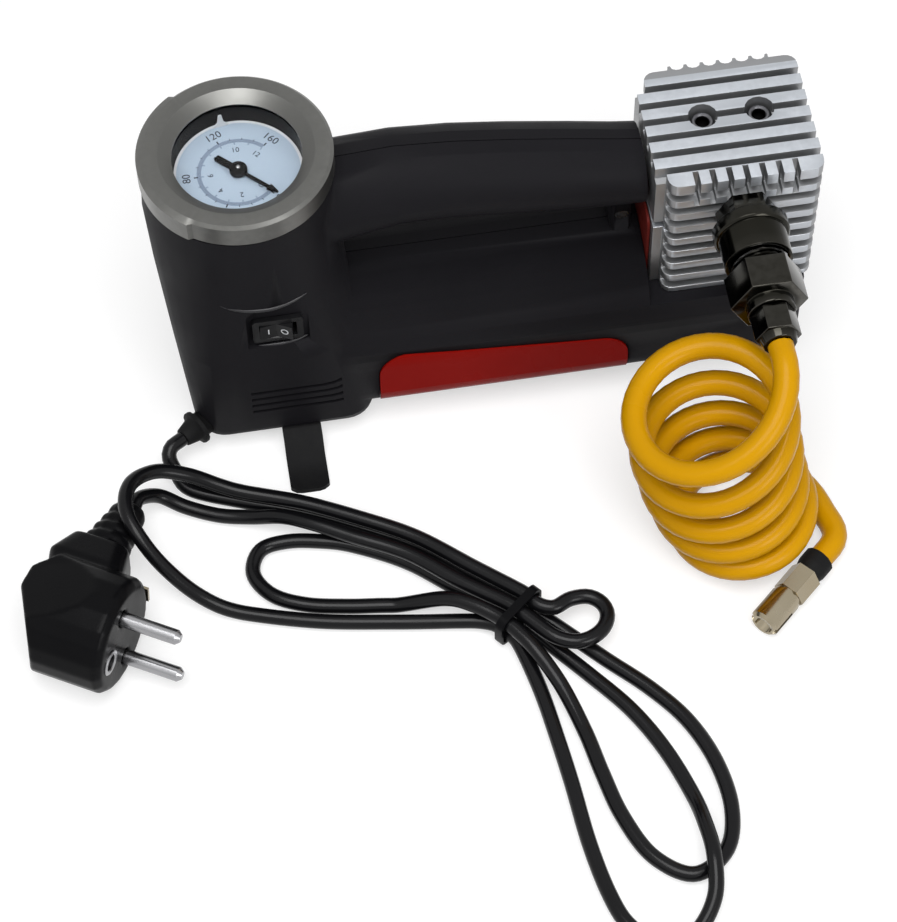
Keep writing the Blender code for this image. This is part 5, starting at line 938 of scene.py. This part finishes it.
@dataclass
class Housing:
    """Housing halves, red panels, strip, feet, gland and case screws."""

    sharp: float = 32.0
    trim: dict[Finish, tuple[str, ...]] = field(default_factory=lambda: {
        Palette.RED_PLASTIC: ("side_panel_front", "side_panel_rear"),
        Palette.BLACK_PAINT: ("stand_strip",),
        Palette.BLACK_RUBBER: ("rubber_foot_front", "rubber_foot_rear", "cord_gland"),
        Palette.RED_GASKET: ("block_gasket",),
        Palette.STEEL: ("post_screw", "handle_screw_left", "handle_screw_right")})

    def build(self) -> None:
        """Dress the housing and its trim."""
        for node in ("housing_front", "housing_rear"):
            smooth_copy(node, Palette.BLACK_PLASTIC, angle=self.sharp)
        for finish, nodes in self.trim.items():
            for node in nodes:
                smooth_copy(node, finish)


@dataclass
class Gauge:
    """Bezel, lens, dial with its print, and needle."""

    steps: int = 160
    lobe: float = 0.0011
    lobe_start: float = 124.0
    lobe_end: float = 236.0
    flat_width: float = 0.0054
    chamfer: float = 0.0010
    lens_cover: float = 0.0015
    slack: float = 0.0003
    zero: float = -45.0
    sweep: float = 270.0
    outer_full: int = 160
    outer_step: int = 40
    inner_full: int = 12
    number_radius: float = 0.0156
    number_size: float = 0.0035
    band_radius: float = 0.0119
    band_width: float = 0.0013
    small_radius: float = 0.0084
    small_size: float = 0.0025
    print_depth: float = 0.00006
    print_lift: float = 0.00004
    # width of the pale ring painted along the dial's edge as a highlight
    rim_width: float = 0.0008
    dial_bore: float = 0.0011
    dial_steps: int = 96
    tab_angle: float = 100.0
    dial_lift: float = 0.0024
    needle_heading: float = -43.0
    hub_height: float = 0.0016

    def centre(self) -> Vector:
        """Return the middle of the dial's face, which stands a little higher than on the CAD dial."""
        low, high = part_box("gauge_dial")
        return Vector(((low[0] + high[0]) / 2, (low[1] + high[1]) / 2, high[2] + self.dial_lift))

    def upright(self) -> Matrix:
        """Return the place on the floor under the dial's middle."""
        centre = self.centre()
        return Matrix.Translation((centre.x, centre.y, 0.0))

    def bezel(self) -> None:
        """Spin the bezel's section and push its rim out into the lobe."""
        low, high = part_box("gauge_bezel")
        lens_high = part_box("gauge_lens")[1]
        middle = self.centre().y
        bottom, top, rim = low[2], high[2], high[1] - middle
        lens_radius = lens_high[1] - middle
        bore, window = lens_radius + 2 * self.slack, lens_radius - self.lens_cover
        sill, flat = lens_high[2] + self.slack, rim - self.flat_width
        profile = [(bore, bottom), (rim - 0.0005, bottom), (rim, bottom + 0.0005), (rim, top - self.chamfer),
                   (rim - self.chamfer, top), (flat, top), (flat - 0.0004, top - 0.0002),
                   (window + 0.0004, sill + 0.0006), (window, sill + 0.0003), (window, sill), (bore, sill)]
        bm = spun(profile, self.steps, Matrix.Identity(4))
        for vert in bm.verts:
            reach = math.hypot(vert.co.x, vert.co.y)
            angle = math.degrees(math.atan2(vert.co.y, vert.co.x)) % 360
            if reach > rim - 0.0008 and self.lobe_start < angle < self.lobe_end:
                vert.co.xy *= (reach + self.lobe) / reach
        bm.transform(self.upright())
        piece("gauge_bezel_ring", bm, Palette.SATIN_SILVER, "gauge_bezel", angle=18.0)

    def direction(self, share: float) -> float:
        """Return the angle, in radians, of a share of the scale."""
        return math.radians(self.zero - self.sweep * share)

    def turned(self, share: float) -> Matrix:
        """Return the place of the dial's middle, turned to a share of the scale."""
        return Matrix.Translation(self.centre()) @ Matrix.Rotation(self.direction(share), 4, "Z")

    def mark(self, share: float, inner: float, outer: float, width: float) -> Shape:
        """Return one scale mark.

        Args:
            share: place along the scale.
            inner: radius where it begins.
            outer: radius where it ends.
            width: its width.

        Returns:
            The mark's shape.
        """
        bm = bmesh.new()
        bmesh.ops.create_cube(bm, size=1.0)
        bmesh.ops.scale(bm, verts=bm.verts, vec=(outer - inner, width, self.print_depth))
        bmesh.ops.translate(bm, verts=bm.verts, vec=((outer + inner) / 2, 0.0, self.print_lift))
        bm.transform(self.turned(share))
        return bm

    def number(self, value: int, full: int, radius: float, size: float) -> Shape:
        """Return a number that stands on the scale with its head outwards.

        Args:
            value: the number.
            full: the number at the scale's end.
            radius: distance from the dial's middle.
            size: the digits' height.

        Returns:
            The number's shape.
        """
        a = self.direction(value / full)
        at = self.centre() + Vector((radius * math.cos(a), radius * math.sin(a), self.print_lift))
        turn = Matrix.Translation(at) @ Matrix.Rotation(a - math.pi / 2, 4, "Z")
        return lettering(str(value), size, self.print_depth, turn)

    def arc(self) -> Shape:
        """Return the thin printed band that runs along the whole scale."""
        bm = bmesh.new()
        ends = [bm.verts.new((self.band_radius + side * self.band_width / 2, 0.0, self.print_lift))
                for side in (-1, 1)]
        edge = bm.edges.new(ends)
        bmesh.ops.spin(bm, geom=[*ends, edge], cent=(0, 0, 0), axis=(0, 0, -1),
                       angle=math.radians(self.sweep), steps=72, use_merge=False)
        bm.transform(self.turned(0.0))
        bmesh.ops.recalc_face_normals(bm, faces=bm.faces)
        for face in bm.faces:
            if face.normal.z < 0:
                face.normal_flip()
        return bm

    def print_dial(self) -> None:
        """Print both scales: outer numbers, and a band with marks on both sides and small numbers inside it."""
        ink = [self.number(value, self.outer_full, self.number_radius, self.number_size)
               for value in range(0, self.outer_full + 1, self.outer_step)]
        edge = self.band_radius + self.band_width / 2
        count = self.outer_full // 10
        for k in range(count + 1):
            length, width = (0.0009, 0.0004) if k % 4 == 0 else (0.0004, 0.0002)
            ink.append(self.mark(k / count, edge - 0.0003, edge + length, width))
        ink += [self.number(value, self.inner_full, self.small_radius, self.small_size)
                for value in range(0, self.inner_full + 1, 2)]
        edge = self.band_radius - self.band_width / 2
        blue = [self.arc()] + [self.mark(k / self.inner_full, edge - 0.0008, edge, 0.00035)
                               for k in range(self.inner_full + 1)]
        piece("dial_print", gather(ink), Palette.DIAL_INK)
        piece("dial_band", gather(blue), Palette.DIAL_BLUE)

    def dial(self) -> None:
        """Make the round dial plate, a pale ring along its edge that is a painted highlight, and the tab at its
        back edge.
        """
        low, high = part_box("gauge_dial")
        centre, place = self.centre(), self.upright()
        radius = high[1] - centre.y

        def ring(inner: float, bottom: float, top: float) -> Shape:
            """Return a flat ring as wide as the dial."""
            section = [(inner, bottom), (radius, bottom), (radius, top), (inner, top)]
            return spun(section, self.dial_steps, place)

        piece("dial_plate", ring(self.dial_bore, low[2], centre.z), Palette.DIAL_WHITE, "gauge_dial")
        # painted highlight: a pale ring along the dial's edge
        rim = ring(radius - self.rim_width, centre.z, centre.z + 0.00008)
        outline = [(-0.0026, 0.0), (0.0026, 0.0), (0.0010, 0.0018), (0.0005, 0.0052), (-0.0005, 0.0052),
                   (-0.0010, 0.0018)]
        turn = Matrix.Rotation(math.radians(self.tab_angle + 90.0), 4, "Z")
        out = Matrix.Translation((0, -radius + 0.0012, 0))
        stand = Matrix.Translation(centre) @ turn @ out @ Matrix.Rotation(math.radians(90.0), 4, "X")
        piece("dial_highlight_rim_and_tab", gather([rim, plate(outline, 0.0004, stand)]), Palette.PRINT_WHITE)

    def needle(self) -> None:
        """Make the needle: broad tail, thin blade with an arrow, and a round hub with a pin."""
        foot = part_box("gauge_needle")[0][2]
        turn = self.upright() @ Matrix.Rotation(math.radians(self.needle_heading), 4, "Z")
        under = self.blade_low()
        half = [(-0.0084, 0.0008), (-0.0080, 0.0011), (-0.0010, 0.0011), (0.0010, 0.0006), (0.0112, 0.0005),
                (0.0112, 0.0012), (0.0146, 0.0002)]
        outline = [(x, -y) for x, y in half] + half[::-1]
        blade = plate(outline, 0.0005, turn @ Matrix.Translation((0.0, 0.0, under)))
        top, sole = under + self.hub_height, under - 0.0001
        hub = spun([(0.0, foot), (0.0008, foot), (0.0008, sole), (0.0027, sole), (0.0027, top - 0.0005),
                    (0.0025, top - 0.0002), (0.0021, top), (0.0, top)], 48, turn)
        piece("needle_black", gather([blade, hub]), Palette.NEEDLE_BLACK, "gauge_needle")
        root = top - 0.0002
        pin = spun([(0.0, root), (0.0007, root), (0.0007, top + 0.0004), (0.0005, top + 0.0006),
                    (0.0, top + 0.0007)], 24, turn)
        piece("needle_pin", pin, Palette.STEEL, body=frame["nodes"]["gauge_needle"]["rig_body"])

    def blade_low(self) -> float:
        """Return the height of the underside of the needle's blade."""
        centre = self.centre()
        wide = [v.co.z for v in frame["nodes"]["gauge_needle"].data.vertices
                if math.hypot(v.co.x - centre.x, v.co.y - centre.y) > 0.004]
        return min(wide) + self.dial_lift

    def lens(self) -> None:
        """Make the clear lens with a slight crown."""
        low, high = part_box("gauge_lens")
        radius = high[1] - self.centre().y
        profile = [(0.0, low[2]), (radius, low[2]), (radius, high[2] - 0.0002),
                   (radius * 0.6, high[2] - 0.00006), (0.0, high[2])]
        bm = spun(profile, self.dial_steps, self.upright())
        obj = piece("clear_lens", bm, Palette.DIAL_WHITE, "gauge_lens")
        material = bpy.data.materials.new("finish_clear_lens")
        material.use_nodes = True
        tree = material.node_tree
        fill(tree, tree.nodes[PRINCIPLED],
             {"Base Color": WHITE, "Roughness": 0.03, "Transmission Weight": 1.0, "IOR": 1.16})
        obj.data.materials[0] = material

    def build(self) -> None:
        """Make the whole gauge."""
        self.bezel()
        self.dial()
        self.print_dial()
        self.lens()
        self.needle()
        smooth_copy("gauge_case", Palette.BLACK_PAINT)


@dataclass
class Switch:
    """Rocker switch with its marks."""

    mark_height: float = 0.0034
    mark_depth: float = 0.00006
    brow: tuple[Point, ...] = (
        (-0.0836, -0.0279, 0.0755), (-0.0802, -0.0287, 0.0741), (-0.0764, -0.0292, 0.0731),
        (-0.0725, -0.0294, 0.0726), (-0.0680, -0.0293, 0.0725), (-0.0625, -0.0282, 0.0729),
        (-0.0571, -0.0262, 0.0738))
    lip: tuple[Point, ...] = (
        (-0.0735, -0.0292, 0.0538), (-0.0700, -0.0294, 0.0537), (-0.0660, -0.0294, 0.0537),
        (-0.0620, -0.0290, 0.0539), (-0.0578, -0.0280, 0.0545))
    ridge: float = 0.0014
    ridge_spacing: float = 0.0010

    def mark(self, text: str, faces: Sequence[bpy.types.MeshPolygon]) -> Shape:
        """Return a mark on the middle of some faces of the rocker.

        Args:
            text: what it reads.
            faces: the faces.

        Returns:
            The mark's shape.
        """
        normal = sum((f.normal * f.area for f in faces), Vector()).normalized()
        area = sum(f.area for f in faces)
        at = sum((f.center * f.area for f in faces), Vector()) / area + normal * self.mark_depth
        across = Vector((0, 0, 1)).cross(normal).normalized()
        turn = Matrix((across, normal.cross(across), normal)).transposed().to_4x4()
        return lettering(text, self.mark_height, self.mark_depth, Matrix.Translation(at) @ turn)

    def build(self) -> None:
        """Raise the ridges over and under the recess, dress frame and rocker, and print the two marks."""
        for name, points in (("switch_brow", self.brow), ("switch_lip", self.lip)):
            route = smooth_route(points, self.ridge_spacing)
            tube(name, route, self.ridge, Palette.RIDGE_PLASTIC, taper=True)
        for node in ("switch_frame", "switch_rocker"):
            smooth_copy(node, Palette.SWITCH_PLASTIC)
        low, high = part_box("switch_rocker")
        rocker = frame["nodes"]["switch_rocker"]
        middle = (low[0] + high[0]) / 2
        front = [f for f in rocker.data.polygons if f.normal.y < -0.7]
        marks = [self.mark("I", [f for f in front if f.center.x < middle]),
                 self.mark("O", [f for f in front if f.center.x > middle])]
        piece("switch_marks", gather(marks), Palette.PRINT_WHITE, body=rocker["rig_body"])


@dataclass
class Cylinder:
    """Finned block and head with their screws."""

    edge: float = 0.00030
    socket: float = 0.0022
    socket_depth: float = 0.0022
    # depth of the top and front lands that are left without painted shade
    machined: float = 0.0004
    # width of the sloped strip along each casting's back, which gets the full painted shade
    back_strip: float = 0.0042
    # strength of the painted shade in the grooves, on the sides and on the back strip
    as_cast: float = 0.85

    def cast_share(self, node: str) -> Callable[[Vector, Vector], float]:
        """Return a measure of painted shade on a casting: everywhere but the top and front lands of its fins.

        Args:
            node: the casting's CAD node.

        Returns:
            A function from a face's middle and normal to 0 on the top and front lands and up to 1 where shade
            is painted.
        """
        low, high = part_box(node)

        def share(point: Vector, normal: Vector) -> float:
            """Return the share of painted shade at one face."""
            if point.z > high[2] - self.machined and point.y < high[1] - self.back_strip:
                return self.as_cast * (1.0 - max(0.0, normal.z) ** 2)
            if point.y < low[1] + self.machined:
                return self.as_cast * (1.0 - max(0.0, -normal.y) ** 2)
            return self.as_cast

        return share

    def screw(self, node: str) -> None:
        """Make a head screw: a ring of steel round a deep socket whose inside is painted near black as shade.

        Args:
            node: the screw's CAD node.
        """
        low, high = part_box(node)
        middle = Vector(((low[0] + high[0]) / 2, (low[1] + high[1]) / 2, 0.0))
        points = [v.co - middle for v in frame["nodes"][node].data.vertices]
        radius = (high[0] - low[0]) / 2
        under = min(p.z for p in points if math.hypot(p.x, p.y) > 0.8 * radius)
        shank = max(math.hypot(p.x, p.y) for p in points if p.z < under - 1e-5)
        top, hole, bottom = high[2], self.socket, high[2] - self.socket_depth
        profile = [(0.0, low[2]), (shank, low[2]), (shank, under), (radius, under), (radius, top - 0.0005),
                   (radius - 0.0004, top), (hole + 0.0003, top), (hole, top - 0.0003),
                   (hole - 0.0001, top - 0.0012), (hole - 0.0002, bottom), (0.0, bottom)]
        bm = spun(profile, 48, Matrix.Translation(middle))
        # painted shade: the socket's inside is painted near black
        layer = bm.verts.layers.float.new(PAINTED_SHADE)
        for vert in bm.verts:
            across = math.hypot(vert.co.x - middle.x, vert.co.y - middle.y)
            vert[layer] = 1.0 if across < hole - 0.00005 and vert.co.z > under else 0.0
        piece(node + "_ring", bm, Palette.SOCKET_STEEL, node)

    def build(self) -> None:
        """Dress the castings, with shade painted into their grooves, sides and back strips, and make the
        screws.
        """
        for node in ("cylinder_block", "cylinder_head"):
            back = (0.0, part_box(node)[1][1] - self.back_strip, 0.0)
            smooth_copy(node, Palette.ALUMINIUM, self.edge, painted_shade=self.cast_share(node),
                        split=(back, (0.0, 1.0, 0.0)))
        for node in ("head_screw_left", "head_screw_right"):
            self.screw(node)


@dataclass
class Coupler:
    """Outlet nipple, quick coupler and hose nut."""

    edge: float = 0.00035
    sharp: float = 28.0

    def build(self) -> None:
        """Dress the coupler's pieces."""
        for node in ("outlet_nipple", "coupler_sleeve", "coupler_body", "hose_nut"):
            smooth_copy(node, Palette.GUNMETAL, self.edge, self.sharp)


@dataclass
class Inside:
    """Pieces inside the housing and the castings, which keep their CAD shapes, and the two springs."""

    finishes: dict[Finish, tuple[str, ...]] = field(default_factory=lambda: {
        Palette.BRASS: ("bourdon_tube", "gauge_stem", "bearing_front", "bearing_rear", "pinion"),
        Palette.NYLON: ("air_line", "cooling_fan", "drive_gear"),
        Palette.STEEL: ("motor_can", "motor_shaft", "gear_axle", "cup_retainer", "big_end_bearing",
                        "valve_plate", "outlet_valve"),
        Palette.BLACK_PLASTIC: ("motor_end_cap",),
        Palette.COPPER: ("armature",),
        Palette.BOARD: ("power_board",),
        Palette.ALUMINIUM: ("gear_plate", "piston_rod"),
        Palette.BLACK_RUBBER: ("piston_cup", "head_gasket")})
    sleeve_travel: float = 0.0040
    valve_travel: float = 0.0010
    spring_slack: float = 0.00005

    def spring(self, node: str, axis: int, held_high: bool) -> None:
        """Make a smooth steel copy of a spring with a mesh of its own; it keeps its CAD length.

        Args:
            node: the spring's CAD node.
            axis: 0, 1 or 2 for the spring's axis.
            held_high: whether its fixed end is the higher one along the axis.
        """
        low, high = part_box(node)
        anchor = Vector([(a + b) / 2 for a, b in zip(low, high)])
        anchor[axis] = high[axis] if held_high else low[axis]
        direction = Vector((0.0, 0.0, 0.0))
        direction[axis] = 1.0
        obj = smooth_copy(node, Palette.STEEL)
        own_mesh(obj)

    def build(self) -> None:
        """Dress each inner node and make the springs."""
        for finish, nodes in self.finishes.items():
            for node in nodes:
                dress(node, finish)
        self.spring("coupler_spring", 1, False)
        self.spring("outlet_spring", 2, True)


def main() -> None:
    """Build the studio and every sub-assembly."""
    logging.basicConfig(level=logging.INFO, format="%(message)s")
    for part in (Studio, MainsCord, AirHose, Housing, Gauge, Switch, Cylinder, Coupler, Inside):
        part().build()


if __name__ == "__main__":
    main()
